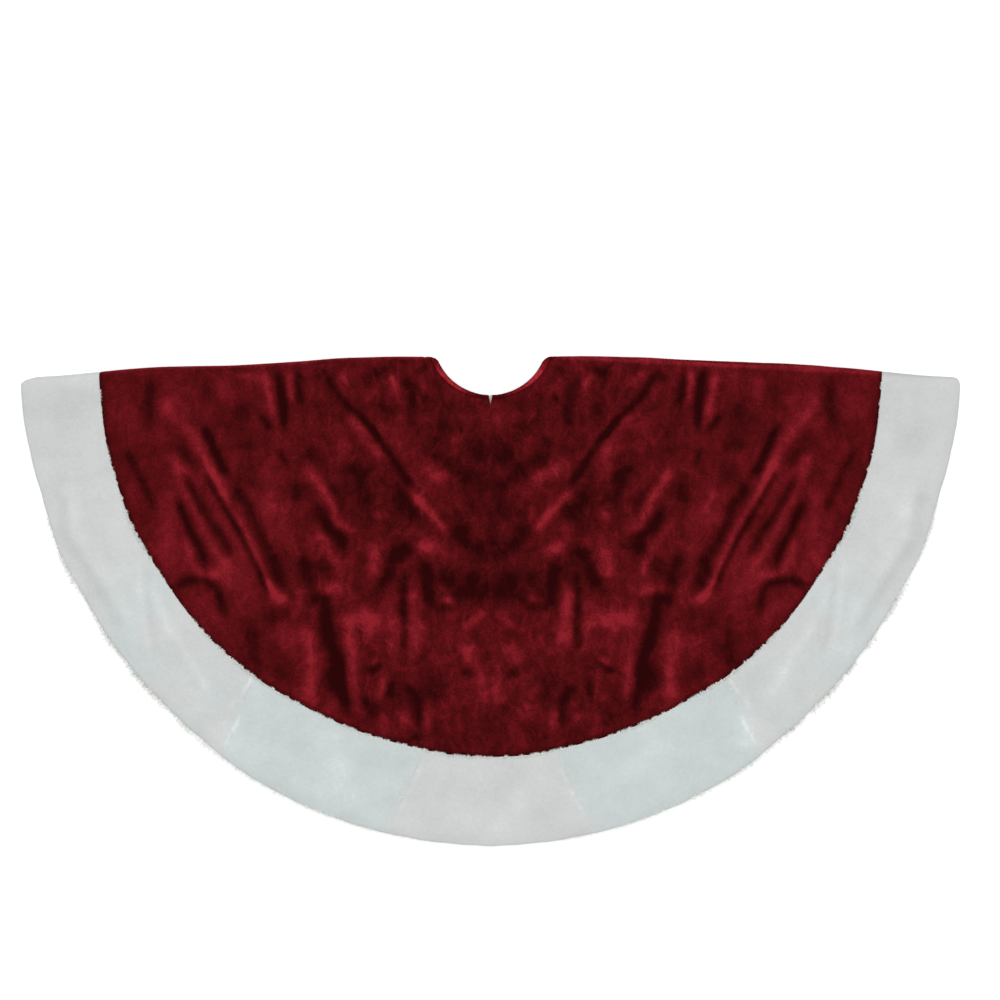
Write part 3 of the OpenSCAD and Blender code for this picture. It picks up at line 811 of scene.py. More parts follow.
class Shader:
    """A material's main shader, and the nodes that feed it."""

    def __init__(self, name, roughness, specular=None):
        self.material = bpy.data.materials.new(name)
        self.material.use_nodes = True
        self.tree = self.material.node_tree
        self.main = self.tree.nodes["Principled BSDF"]
        self.main.inputs["Roughness"].default_value = roughness
        if specular is not None:
            self.main.inputs["Specular IOR Level"].default_value = specular

    def add(self, kind):
        return self.tree.nodes.new("ShaderNode" + kind)

    def feed(self, source, socket):
        self.tree.links.new(source, socket)

    def attributes(self, *names):
        """Values that the mesh carries. The place on the cloth is a vector."""
        outputs = []
        for name in names:
            node = self.add("Attribute")
            node.attribute_name = name
            outputs.append(node.outputs["Vector" if name == "cloth" else "Fac"])
        return outputs

    def object_place(self):
        return self.add("TexCoord").outputs["Object"]

    def scaled(self, source, scale):
        node = self.add("VectorMath")
        node.operation = "MULTIPLY"
        self.feed(source, node.inputs[0])
        node.inputs[1].default_value = scale
        return node.outputs[0]

    def noise(self, source, scale, detail, roughness, distortion=0.0):
        node = self.add("TexNoise")
        node.inputs["Scale"].default_value = scale
        node.inputs["Detail"].default_value = detail
        node.inputs["Roughness"].default_value = roughness
        node.inputs["Distortion"].default_value = distortion
        self.feed(source, node.inputs["Vector"])
        return node.outputs["Fac"]

    def math(self, operation, first, second):
        node = self.add("Math")
        node.operation = operation
        for socket, value in zip(node.inputs, (first, second)):
            if isinstance(value, (int, float)):
                socket.default_value = value
            else:
                self.feed(value, socket)
        return node.outputs[0]

    def mottled(self, start, *terms):
        """start plus each term's weight times its noise's distance from the middle value."""
        total = start
        for source, weight in terms:
            centred = self.math("SUBTRACT", source, 0.5)
            total = self.math("ADD", total, self.math("MULTIPLY", centred, weight))
        return total

    def ramp(self, source, *stops):
        """A colour for each value between the stops, which are (place, colour)."""
        node = self.add("ValToRGB")
        elements = node.color_ramp.elements
        for element, (place, color) in zip(elements, (stops[0], stops[-1])):
            element.position = place
            element.color = (*color, 1)
        for place, color in stops[1:-1]:
            elements.new(place).color = (*color, 1)
        self.feed(source, node.inputs[0])
        return node.outputs["Color"]

    def mix(self, share, first, second):
        node = self.add("Mix")
        node.data_type = "RGBA"
        sockets = {socket.identifier: socket for socket in node.inputs}
        self.feed(share, sockets["Factor_Float"])
        self.feed(first, sockets["A_Color"])
        self.feed(second, sockets["B_Color"])
        return next(socket for socket in node.outputs if socket.identifier == "Result_Color")

    def color(self, source):
        self.feed(source, self.main.inputs["Base Color"])

    def sheen(self, weight, roughness, tint=WHITE):
        self.main.inputs["Sheen Weight"].default_value = weight
        self.main.inputs["Sheen Roughness"].default_value = roughness
        self.main.inputs["Sheen Tint"].default_value = (*tint, 1)

    def bump(self, height, strength, distance):
        node = self.add("Bump")
        node.inputs["Strength"].default_value = strength
        node.inputs["Distance"].default_value = distance
        self.feed(height, node.inputs["Height"])
        self.feed(node.outputs["Normal"], self.main.inputs["Normal"])


def plush_material(name, stops, painted_rim_shade):
    """Crushed velvet: the nap lies in patches, with painted shade in its creases, along the seam
    and on rounded edges, and painted highlights on its ridges and rolled edges.
    """
    shader = Shader(name, roughness=0.9, specular=0.01)
    cloth, nap, edge, crushed_share = shader.attributes("cloth", "nap", "edge", "crushed")
    patches = shader.noise(cloth, 26, 5, 0.62, 0.6)
    crush = shader.noise(shader.scaled(cloth, (1.0, 0.65, 1.0)), 75, 4, 0.6, 0.8)
    tufts = shader.noise(cloth, 330, 3, 0.6)
    fibres = shader.noise(shader.scaled(cloth, (1.0, 0.35, 1.0)), 1100, 2, 0.6)
    # nap brings painted shade and highlights from pleats, seam and edges; edge paints shade on the rounded
    # rims
    lie_and_painted_light = shader.math("ADD", shader.math("MULTIPLY", nap, 0.38), 0.455)
    lie_and_painted_light = shader.math("SUBTRACT", lie_and_painted_light, shader.math("MULTIPLY", edge, painted_rim_shade))
    uneven = shader.mottled(0.0, (patches, 0.8), (crush, 1.0))
    lie_and_painted_light = shader.math("ADD", lie_and_painted_light, shader.math("MULTIPLY", uneven, crushed_share))
    shader.color(shader.ramp(shader.mottled(lie_and_painted_light, (tufts, 0.6), (fibres, 0.4)), *stops))
    shader.sheen(0.10, 0.4, (0.9, 0.02, 0.04))
    shader.bump(shader.mottled(0.5, (crush, 1.0), (tufts, 0.5), (fibres, 0.3)), 0.6, 0.0025)
    return shader.material


def fur_material(name, warm_shades, cool_shades):
    """Short white fur: soft tufts, with the pile lying a little unevenly. Some lengths of the border
    are a cooler white than the others. Shades are the colour in the shade, on top of the pile
    and on a ridge. Painted shade darkens its rounded rims and straight edges, and its folds
    carry painted shade and highlights."""
    shader = Shader(name, roughness=0.95, specular=0.1)
    cloth, nap, edge, cool = shader.attributes("cloth", "nap", "edge", "cool")
    drifts = shader.noise(cloth, 22, 4, 0.6)
    tufts = shader.noise(cloth, 210, 3, 0.6, 0.4)
    fibres = shader.noise(cloth, 900, 3, 0.7)
    # nap brings painted shade and highlights from the folds and edges; the next line paints shade on the
    # rounded rims
    lie_and_painted_light = shader.math("ADD", shader.math("MULTIPLY", nap, 0.30), 0.6)
    lie_and_painted_light = shader.math("SUBTRACT", lie_and_painted_light, shader.math("MULTIPLY", edge, 0.5))
    value = shader.mottled(lie_and_painted_light, (drifts, 0.65), (tufts, 0.4), (fibres, 0.3))
    colors = [shader.ramp(value, (0.0, shade), (0.75, top), (1.0, ridge))
              for shade, top, ridge in (warm_shades, cool_shades)]
    shader.color(shader.mix(cool, *colors))
    shader.sheen(0.21, 0.6)
    shader.bump(shader.mottled(0.5, (tufts, 0.7), (fibres, 0.5)), 0.5, 0.0018)
    return shader.material


def woven_material(name, base, shadow, thread):
    """Plain weave: threads cross over and under each other, a thread's width apart."""
    shader = Shader(name, roughness=0.75, specular=0.25)
    cloth = shader.attributes("cloth")[0]
    slubs = shader.noise(shader.scaled(cloth, (1.0, 0.08, 1.0)), 900, 2, 0.5)
    drifts = shader.noise(cloth, 20, 3, 0.5)
    bands = []
    for direction in ("X", "Y"):
        wave = shader.add("TexWave")
        wave.wave_type = "BANDS"
        wave.bands_direction = direction
        wave.inputs["Scale"].default_value = 1 / (thread * 2 * math.pi)
        wave.inputs["Distortion"].default_value = 0.6
        shader.feed(cloth, wave.inputs["Vector"])
        bands.append(wave.outputs["Fac"])
    weave = shader.math("MULTIPLY", *bands)
    value = shader.mottled(0.6, (weave, 0.35), (slubs, 0.35), (drifts, 0.25))
    shader.color(shader.ramp(value, (0.1, shadow), (0.8, base)))
    shader.sheen(0.1, 0.5)
    shader.bump(weave, 0.35, 0.0004)
    return shader.material


def fibre_material(name, base, shadow):
    """Loose fibres, a little uneven in colour from one to the next."""
    shader = Shader(name, roughness=0.8)
    grain = shader.noise(shader.object_place(), 600, 2, 0.5)
    value = shader.mottled(shader.attributes("nap")[0], (grain, 0.3))
    shader.color(shader.ramp(value, (0.0, shadow), (1.0, base)))
    shader.sheen(0.3, 0.5)
    return shader.material


def pad_material(name, base, shadow, scale, roughness):
    """Woven tape covered in hooks or loops, as a fine even stipple."""
    shader = Shader(name, roughness)
    place = shader.object_place()
    cells = shader.add("TexVoronoi")
    cells.inputs["Scale"].default_value = scale
    cells.inputs["Randomness"].default_value = 0.4
    shader.feed(place, cells.inputs["Vector"])
    fluff = shader.noise(place, 700, 3, 0.7)
    value = shader.mottled(0.7, (cells.outputs["Distance"], -0.7), (fluff, 0.4))
    shader.color(shader.ramp(value, (0.1, shadow), (0.9, base)))
    shader.bump(value, 0.6, 0.0006)
    return shader.material


def floor_material(name, base, shadow):
    """Smooth and pale, with a barely seen unevenness."""
    shader = Shader(name, roughness=0.9)
    grain = shader.noise(shader.object_place(), 3, 2, 0.5)
    shader.color(shader.ramp(grain, (0.0, shadow), (1.0, base)))
    return shader.material


# Colours of the plush from where the nap turns away to where it catches the light
PLUSH = plush_material("red_plush", [
    (0.00, (0.0154, 0.0010, 0.0013)),
    (0.25, (0.0308, 0.0018, 0.0022)),
    (0.50, (0.0556, 0.0028, 0.0037)),
    (0.75, (0.0958, 0.0046, 0.0074)),
    (1.00, (0.1625, 0.0086, 0.0137)),
], painted_rim_shade=0.1)
# A brighter copy of the plush for the binding: its upper stops are a painted highlight on the rolled edge,
# and its rims get strong painted shade
BINDING_PLUSH_PAINTED_HIGHLIGHT = plush_material("red_binding", [
    (0.15, (0.0385, 0.0017, 0.0026)),
    (0.50, (0.1111, 0.0038, 0.0064)),
    (0.85, (0.2600, 0.0170, 0.0250)),
], painted_rim_shade=0.9)
FUR = fur_material(
    "white_fur",
    warm_shades=((0.286, 0.295, 0.291), (0.405, 0.417, 0.414), (0.49, 0.51, 0.50)),
    cool_shades=((0.269, 0.299, 0.296), (0.385, 0.425, 0.422), (0.47, 0.52, 0.515)))
LINING_CLOTH = woven_material("lining_cloth", (0.56, 0.54, 0.515), (0.40, 0.385, 0.36), 0.0009)
FACING_CLOTH = woven_material("facing_tape", (0.63, 0.625, 0.61), (0.44, 0.435, 0.42), 0.0014)
LABEL_SATIN = woven_material("label_satin", (0.57, 0.57, 0.56), (0.50, 0.50, 0.49), 0.0005)
HOOK_TAPE = pad_material("hook_tape", (0.46, 0.455, 0.435), (0.24, 0.235, 0.225), 900, 0.45)
LOOP_TAPE = pad_material("loop_tape", (0.26, 0.026, 0.045), (0.10, 0.010, 0.018), 1300, 0.9)
FUR_FIBRE = fibre_material("fur_fibre", (0.93, 0.94, 0.895), (0.48, 0.49, 0.465))
THREAD = fibre_material("thread", (0.42, 0.41, 0.39), (0.30, 0.29, 0.27))


# ---------------------------------------------------------------- fibres and stitches

def blades(name, roots, ways, lengths, drops, width, tones):
    """Tapered three-sided fibres. Each runs from its root along its way, and drops."""
    up = np.array([0.0, 0.0, 1.0])
    side = np.cross(ways, up)
    count = len(roots)
    run = ways * lengths[:, None]
    middles = roots + 0.55 * run - up * (0.30 * drops)[:, None]
    tips = roots + run - up * drops[:, None]
    verts = np.empty((count, 7, 3))
    for k, angle in enumerate((0.5 * math.pi, 1.1667 * math.pi, 1.8333 * math.pi)):
        spoke = (side * math.cos(angle) + up * math.sin(angle)) * width
        verts[:, k] = roots + 0.5 * spoke
        verts[:, 3 + k] = middles + 0.4 * spoke
    verts[:, 6] = tips
    quads = np.array([(1, 0, 3, 4), (2, 1, 4, 5), (0, 2, 5, 3)])
    triangles = np.array([(0, 1, 2), (4, 3, 6), (5, 4, 6), (3, 5, 6)])
    first = (np.arange(count) * 7)[:, None, None]
    faces = (quads + first).reshape(-1, 4).tolist() + (triangles + first).reshape(-1, 3).tolist()
    obj = mesh_object(name, verts.reshape(-1, 3), faces)
    set_attribute(obj, "nap", np.repeat(tones, 7))
    return obj


def turned_by(ways, angles):
    """Level directions turned by angles."""
    cos, sin = np.cos(angles), np.sin(angles)
    return np.stack([ways[:, 0] * cos - ways[:, 1] * sin,
                     ways[:, 0] * sin + ways[:, 1] * cos, 0 * cos], -1)


def half_height(half, h):
    """z of a height above the fold plane, which counts downwards on the back half."""
    return FOLD_Z + h if half == "front" else FOLD_Z - h


HEM_DROOP = 0.0025
FIBRE_W = 0.00045
TUFT_W = 0.0007
# Fibres stay this far above the floor, or above the fold plane on the front half
LEAST_HEIGHT = 0.0004
# The fringe runs between these angles from straight down, on each side
FRINGE_FROM, FRINGE_TO = math.radians(5), math.radians(76)
FRINGE_REACH = 0.002
FRINGE_DRIFT_W = 0.021
FRINGE_SEEDS = {"front": 31, "back": 41}
LOCKS_PER_M = 800
FIBRES_PER_LOCK = 7
LOCK_W = 0.0020
SEAM_TUFTS_PER_M = 4500
SEAM_TUFT_SEED = 51
SEAM_BUMP_W = 0.0050
JOINT_TUFTS_PER_M = 700
JOINT_TUFT_SEED = 61
JOINT_PATCH_W = 0.011


def fur_blades(name, half, roots_plan, heights, ways, lengths, drops, width, tones):
    """Loose fur of one half, from level points and heights above the fold plane."""
    roots = np.concatenate([roots_plan, half_height(half, heights)[:, None]], -1)
    obj = blades(f"{half}_{name}", roots, ways, lengths, drops, width, tones)
    obj.data.materials.append(FUR_FIBRE)
    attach(obj, half + "_half")
    return obj


def hem_fringe(half):
    """Locks of fur that stick out past the hem."""
    seed = FRINGE_SEEDS[half]
    draw = np.random.default_rng(seed)
    locks = int(2 * LOCKS_PER_M * (FRINGE_TO - FRINGE_FROM) * HEM[1])
    side = np.where(draw.random(locks) < 0.5, -1, 1)
    middle = draw.uniform(FRINGE_FROM, FRINGE_TO, locks)
    fade = smooth((middle - FRINGE_FROM) / 0.12) * smooth((FRINGE_TO - middle) / 0.08)
    middle = side * middle
    drift = smooth(0.8 + 0.7 * noise(middle * HEM[1], 0 * middle, FRINGE_DRIFT_W, seed + 1))
    share = fade * drift * draw.uniform(0, 1, locks) ** 0.7
    past_hem = 0.0005 + (hem_inset(middle) + FRINGE_REACH) * share
    lean = draw.normal(0, 0.0016, locks) * share
    tips = arc_point((HEM[0], HEM[1] + past_hem - hem_inset(middle)), middle + lean / HEM[1])

    count = locks * FIBRES_PER_LOCK
    angles = np.repeat(middle, FIBRES_PER_LOCK) + draw.normal(0, LOCK_W / 2 / HEM[1], count)
    root_depth = draw.uniform(0.0005, 0.0030, count)
    roots_plan = arc_point((HEM[0], HEM[1] - hem_inset(angles) - root_depth), angles)
    fibre_tips = np.repeat(tips, FIBRES_PER_LOCK, 0) + draw.normal(0, LOCK_W / 8, (count, 2))
    run = (fibre_tips - roots_plan) * draw.uniform(0.6, 1, count)[:, None]
    lengths = np.linalg.norm(run, axis=1)
    ways = np.concatenate([run / lengths[:, None], np.zeros((count, 1))], -1)
    edge_h = (BACKING_H + TOP_H) / 2 - HEM_DROOP
    heights = edge_h + root_depth * draw.uniform(-0.4, 0.9, count)
    drops = draw.uniform(-0.1, 0.3, count) * lengths
    lowest = LEAST_HEIGHT if half == "back" else FOLD_Z + LEAST_HEIGHT
    drops = np.minimum(drops, half_height(half, heights) - lowest)
    return fur_blades("hem_fringe", half, roots_plan, heights, ways, lengths, drops, FIBRE_W,
                      draw.uniform(0.5, 1, count))


def seam_tufts(half):
    """Fur of the border that lies over the plush in small bumps along the seam."""
    draw = np.random.default_rng(SEAM_TUFT_SEED)
    widest = edge_angle(SEAM, ROLL_R + 0.003)
    count = int(2 * widest * SEAM[1] * SEAM_TUFTS_PER_M)
    angles = draw.uniform(-widest, widest, count)
    arc = angles * SEAM[1]
    inwards = np.stack([-np.sin(angles), np.cos(angles)], -1)
    bump = smooth(0.4 + 1.2 * noise(arc, 0 * arc, SEAM_BUMP_W, SEAM_TUFT_SEED + 1))
    root_depth = draw.uniform(0.0005, 0.0035, count)
    roots_plan = arc_point(SEAM, angles) - inwards * (seam_in(angles) + root_depth)[:, None]
    lengths = root_depth + 0.0002 + 0.0032 * bump * draw.uniform(0.5, 1, count)
    heights = TOP_H - 0.0008 + draw.uniform(-0.0006, 0.0006, count)
    swing = 0.5 * noise(arc, 0 * arc, 0.003, SEAM_TUFT_SEED + 2) + draw.normal(0, 0.3, count)
    drops = np.full(count, -0.0008 if half == "front" else 0.0)
    return fur_blades("seam_tufts", half, roots_plan, heights, turned_by(inwards, swing), lengths,
                      drops, TUFT_W, draw.uniform(0.10, 0.40, count))


def joint_tufts(half):
    """Fur pushed up in broken ridges where the border's lengths join."""
    draw = np.random.default_rng(JOINT_TUFT_SEED)
    parts = []
    for joint in (NEAR_JOINT, FAR_JOINT):
        for side in (-1, 1):
            start, end = arc_point(SEAM, side * joint[0]), arc_point(HEM, side * joint[1])
            span = np.linalg.norm(end - start)
            way = (end - start) / span
            run = draw.uniform(0.004, span - 0.010, int(span * JOINT_TUFTS_PER_M))
            patch = noise(run, 0 * run, JOINT_PATCH_W, JOINT_TUFT_SEED + len(parts))
            kept = patch > -0.25
            run, patch = run[kept], patch[kept]
            wander = 0.0015 * noise(run, 0 * run, 0.02, JOINT_TUFT_SEED + 9)
            across = draw.normal(0, 0.0016, len(run)) + wander
            plan = start + way * run[:, None] + np.array([-way[1], way[0]]) * across[:, None]
            parts.append((plan, np.tile(way, (len(run), 1)), 0.0022 + 0.0016 * patch))
    plan, ways, lengths = (np.concatenate(list(values)) for values in zip(*parts))
    count = len(plan)
    heights = TOP_H - 0.0009 + draw.uniform(-0.0003, 0.0005, count)
    swing = draw.uniform(-math.pi, math.pi, count)
    drops = np.full(count, -0.0006 if half == "front" else 0.0)
    return fur_blades("joint_tufts", half, plan, heights, turned_by(ways, swing), lengths, drops,
                      TUFT_W, draw.uniform(0.20, 0.53, count))


# Rings of a stitch, from end to end: share of its length, share of its radius, and how far it
# is raised away from the fold plane, in radii
STITCH_RINGS = [(0.0, 0.4, 0.0), (0.2, 1.0, -0.6), (0.8, 1.0, -0.6), (1.0, 0.4, 0.0)]
STITCH_SIDES = 6
THREAD_TONE = 0.8


def tube_faces(first, rings, sides):
    """Faces of a closed tube whose vertices come ring by ring."""
    faces = []
    for ring in range(rings - 1):
        low, high = first + ring * sides, first + (ring + 1) * sides
        for k in range(sides):
            after = (k + 1) % sides
            faces.append((low + k, low + after, high + after, high + k))
    last = first + (rings - 1) * sides
    faces.append(tuple(first + k for k in range(sides - 1, -1, -1)))
    faces.append(tuple(last + k for k in range(sides)))
    return faces


def stitches(name, paths, half, h, length=0.0034, gap=0.0014, radius=0.00030):
    """Rows of thread stitches along level paths at a height above the fold plane."""
    spokes = np.linspace(0, 2 * math.pi, STITCH_SIDES, endpoint=False)
    verts, faces = [], []
    for path in paths:
        path = np.asarray(path)
        run = np.concatenate([[0], np.cumsum(np.linalg.norm(np.diff(path, axis=0), axis=1))])
        for start in np.arange(gap, run[-1] - length, length + gap):
            places = [start + share * length for share, _size, _lift in STITCH_RINGS]
            x = np.interp(places, run, path[:, 0])
            y = np.interp(places, run, path[:, 1])
            way = np.array([x[-1] - x[0], y[-1] - y[0]]) / math.hypot(x[-1] - x[0], y[-1] - y[0])
            faces += tube_faces(len(verts), len(STITCH_RINGS), STITCH_SIDES)
            for px, py, (_share, size, lift) in zip(x, y, STITCH_RINGS):
                z = half_height(half, h + lift * radius)
                for spoke in spokes:
                    across = radius * size * math.cos(spoke)
                    verts.append((px - way[1] * across, py + way[0] * across,
                                  z + radius * size * math.sin(spoke)))
    obj = mesh_object(name, verts, faces)
    set_attribute(obj, "nap", np.full(len(verts), THREAD_TONE))
    obj.data.materials.append(THREAD)
    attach(obj, half + "_half")
    return obj


# ---------------------------------------------------------------- the pieces

# Radius and depth of the rounded edges: at the seam, between two panels, between two lengths
# of the border, at the slit, at the hem, of the lining and of the turned edge
SEAM_RIM = (0.004, 0.40)
FUR_SEAM_RIM = (0.004, 0.30)
CENTRE_RIM = (0.003, 0.05)
JOINT_RIM = (0.003, 0.03)
FREE_RIM = (0.003, 0.90)
HEM_RIM = (0.005, 0.90)
LINING_RIM = (0.0006, 0.5)
LINING_RIMS = (LINING_RIM,) * 4
BINDING_RIMS = ((0.0025, 0.9), (0.002, 0.5))
BINDING_END_RIM = (0.001, 0.6)
BINDING_FREE_RIM = (0.002, 0.9)
PLUSH_SWELL = 0.0016
FUR_SWELL = 0.0012
PRESSED = {"front": 0.0, "back": 0.0008}
BINDING_STEP = 0.002
LINING_STEP = 0.006
LINING_FROM_SLIT = 0.006
FACING_FROM_SLIT = 0.004
FACING_STEP = 0.003
# Heights above the fold plane, with a hair's breadth between the layers
LAYER_GAP = 0.0001
PILE_HEIGHTS = (BACKING_H, TOP_H)
LINING_HEIGHTS = (LINING_H, BACKING_H - LAYER_GAP)
FACING_HEIGHTS = (FACING_H, LINING_H - LAYER_GAP)
LINING_NECK = (NECK[0], NECK[1] + 0.001)
FACING_NECK = (NECK[0], NECK[1] + 0.006)
# The blended cloth turns with the halves from just below the fold plane to just above it
BLEND_REACH = 0.0005


def finish_piece(obj, material, half, nodes, cut_w=None):
    """Gives a sheet its material and body, and hides the CAD parts that it stands for. It works
    out the piece's flat size, the binding's from its cut width cut_w, and then leaves it unused.
    """
    obj.data.materials.append(material)
    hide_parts(*nodes)
    if half == "folded":
        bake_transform(obj, "back_half", "front_half", start=(0, 0, FOLD_Z - BLEND_REACH),
                 end=(0, 0, FOLD_Z + BLEND_REACH))
    else:
        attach(obj, half + "_half")
    area = obj["flat_area"]
    flat = (round(area / BINDING_W, 3), cut_w) if cut_w else flat_size(obj)


def slit_line(inner, outer, inset=0.0):
    return edge_line(1, inset, inner, outer)


def panel_pieces():
    arcs = (BINDING, SEAM)
    # The plush gets painted shade along its seam and a painted highlight along its straight and rolled edges
    options = dict(pleats_with_painted_light=PLEATS_WITH_PAINTED_LIGHT, patches=NAP_PATCHES, swell=PLUSH_SWELL, cut_in=neck_cut,
                   cut_out=seam_out, painted_seam_shade=0.7, side_tone=SIDE_BRIGHTER, painted_edge_light=0.9)
    left = sheet_piece("panel_left", "folded", [centre_line(-1, *arcs)], arcs, PILE_HEIGHTS,
                       (SEAM_RIM, SEAM_RIM, CENTRE_RIM, CENTRE_RIM), FRONT_STEP, gap=True,
                       **options)
    finish_piece(left, PLUSH, "folded",
                 ["front_panel_left", "back_panel_left", "fold_roll_panel"])
    boundaries = [centre_line(1, *arcs), slit_line(*arcs)]
    for half, step in (("front", FRONT_STEP), ("back", BACK_STEP)):
        right = sheet_piece(half + "_panel_right_plush", half, boundaries, arcs, PILE_HEIGHTS,
                            (SEAM_RIM, SEAM_RIM, CENTRE_RIM, FREE_RIM), step,
                            gap=half == "front", pressed=PRESSED[half], **options)
        finish_piece(right, PLUSH, half, [half + "_panel_right"])


def binding_pieces():
    """The turned edge round the trunk opening."""
    arcs = (NECK, BINDING)
    options = dict(patches=BINDING_PAINTED_LIGHT, cut_in=binding_in, cut_out=binding_out)
    left = sheet_piece("binding_left", "folded", [centre_line(-1, *arcs)], arcs, PILE_HEIGHTS,
                       (*BINDING_RIMS, BINDING_END_RIM, BINDING_END_RIM), BINDING_STEP, gap=True,
                       **options)
    finish_piece(left, BINDING_PLUSH_PAINTED_HIGHLIGHT, "folded",
                 ["front_neck_binding", "back_neck_binding"],
                 cut_w=BINDING_CUT_W)
    boundaries = [centre_line(1, *arcs), slit_line(*arcs)]
    for half in HALVES:
        right = sheet_piece(half + "_binding_right", half, boundaries, arcs, PILE_HEIGHTS,
                            (*BINDING_RIMS, BINDING_END_RIM, BINDING_FREE_RIM), BINDING_STEP,
                            gap=half == "front", **options)
        finish_piece(right, BINDING_PLUSH_PAINTED_HIGHLIGHT, half, [half + "_neck_binding"],
                     cut_w=BINDING_CUT_W)


def border_pieces():
    arcs = (SEAM, HEM)
    # The fur gets painted shade along its straight and rolled edges
    options = dict(pleats_with_painted_light=BORDER_PLEATS_WITH_PAINTED_LIGHT + JOINT_RIDGES, patches=BORDER_PATCHES, swell=FUR_SWELL,
                   cut_in=seam_in, cut_out=hem_cut, droop=HEM_DROOP, painted_edge_light=-1.3)
    joined = (FUR_SEAM_RIM, HEM_RIM, JOINT_RIM, JOINT_RIM)
    beside_slit = (FUR_SEAM_RIM, HEM_RIM, JOINT_RIM, FREE_RIM)
    # The lengths of one half, each from one joint to the next
    lengths = {
        "left": ((FAR_JOINT, -1), (NEAR_JOINT, -1), joined),
        "centre": ((NEAR_JOINT, -1), (NEAR_JOINT, 1), joined),
        "right": ((NEAR_JOINT, 1), (FAR_JOINT, 1), joined),
        "far_right": ((FAR_JOINT, 1), None, beside_slit),
    }
    for half, step in (("front", FRONT_STEP), ("back", BACK_STEP / 2)):
        trims = [hem_fringe(half), seam_tufts(half), joint_tufts(half)]
        for place, (first, last, rims) in lengths.items():
            boundaries = [joint_line(*first, 1, *arcs),
                          joint_line(*last, -1, *arcs) if last else slit_line(*arcs)]
            piece = sheet_piece(f"{half}_border_{place}_fur", half, boundaries, arcs,
                                PILE_HEIGHTS, rims, step, **options)
            finish_piece(piece, FUR, half, [f"{half}_border_{place}"])
    far_left = sheet_piece("border_far_left_fur", "folded",
                           [joint_line(FAR_JOINT, -1, -1, *arcs)], arcs, PILE_HEIGHTS, joined,
                           FRONT_STEP, **options)
    finish_piece(far_left, FUR, "folded",
                 ["front_border_far_left", "back_border_far_left", "fold_roll_border"])


def lining_pieces():
    arcs = (LINING_NECK, LINING_HEM)
    options = dict(cut_in=neck_cut, cut_out=lining_cut)
    left = sheet_piece("lining_left", "folded", [centre_line(-1, *arcs)], arcs, LINING_HEIGHTS,
                       LINING_RIMS, LINING_STEP, bowed=False, **options)
    finish_piece(left, LINING_CLOTH, "folded",
                 ["front_lining_left", "back_lining_left", "fold_roll_lining"])
    boundaries = [centre_line(1, *arcs), slit_line(*arcs, LINING_FROM_SLIT)]
    for half in HALVES:
        right = sheet_piece(half + "_lining_right_cloth", half, boundaries, arcs, LINING_HEIGHTS,
                            LINING_RIMS, LINING_STEP, **options)
        finish_piece(right, LINING_CLOTH, half, [half + "_lining_right"])


# ---------------------------------------------------------------- the slit's trimmings

PAD_SIZE = (0.050, 0.018)
PADS_AT = (0.130, 0.290, 0.450)
PAD_INSET = (FACING_W - PAD_SIZE[1]) / 2
PAD_SINKS = 0.0015
PAD_SEWN_IN = 0.0015
LABEL_SIZE = (0.045, 0.028)
LABEL_AT = 0.210
LABEL_INSET = FACING_W + 0.004
LABEL_HEIGHTS = (LINING_H - 0.0005, LINING_H - LAYER_GAP)
LABEL_RIPPLE = 0.00012
TAPE_STEP = 0.0008
PATCH_RIM = (0.0006, 0.8)
PATCH_CORNER_R = 0.002
# The facing's rows of stitches run between these distances along the slit
FACING_ROWS_RUN = (0.095, 0.585)
LINING_STITCHES_IN = 0.005
LINING_STITCHES_FROM_EDGE = 0.030


def slit_point(along, inset):
    """A level point at a distance along the slit from the origin, and inside its edge."""
    return np.stack([along * math.cos(FALL) - inset * math.sin(FALL),
                     -along * math.sin(FALL) - inset * math.cos(FALL)], -1)


def slit_patch(name, half, at, size, inset, heights, wave=0.0):
    """A small rectangle of cloth beside the slit, with rounded rims and corners."""
    places = (np.linspace(-side / 2, side / 2, int(side / TAPE_STEP)) for side in size)
    grids = np.meshgrid(*places, indexing="ij")
    to_sides = [side / 2 - np.abs(grid) for side, grid in zip(size, grids)]
    # Where a point lies outside a corner's arc, it is pulled in towards the arc's centre
    past_centre = [np.clip(PATCH_CORNER_R - to_side, 0, None) for to_side in to_sides]
    from_centre = np.hypot(*past_centre)
    pulled = 1 - np.minimum(PATCH_CORNER_R / np.maximum(from_centre, 1e-9), 1)
    along, down = (np.sign(grid) * (np.abs(grid) - pulled * past)
                   for grid, past in zip(grids, past_centre))
    plan = slit_point(at + along, inset + size[1] / 2 + down)
    plan = shape_plan(plan, False, np.full(len(plan), TURNS[half]))
    full = rounded(np.minimum(*to_sides), *PATCH_RIM)
    middle_h = sum(heights) / 2 + wave * np.sin(along / size[0] * 2 * math.pi)
    half_t = (heights[1] - heights[0]) / 2
    layers = [np.concatenate([plan, half_height(half, h)[..., None]], -1)
              for h in (middle_h + half_t * full, middle_h - half_t * full)]
    obj = closed_sheet(name, *layers)
    set_on_layers(obj, "cloth", np.concatenate([plan, np.zeros((*along.shape, 1))], -1))
    return obj


def finish_patch(obj, material, half, node):
    """Gives a patch its material and body, and hides the CAD part that it stands for."""
    obj.data.materials.append(material)
    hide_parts(node)
    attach(obj, half + "_half")


def ring_path(at, size, inset, margin):
    """A level rectangle just inside a patch's edge."""
    a, b = size[0] / 2 - margin, size[1] / 2 - margin
    corners = [(-a, -b), (a, -b), (a, b), (-a, b), (-a, -b)]
    return [slit_point(at + x, inset + size[1] / 2 + y) for x, y in corners]


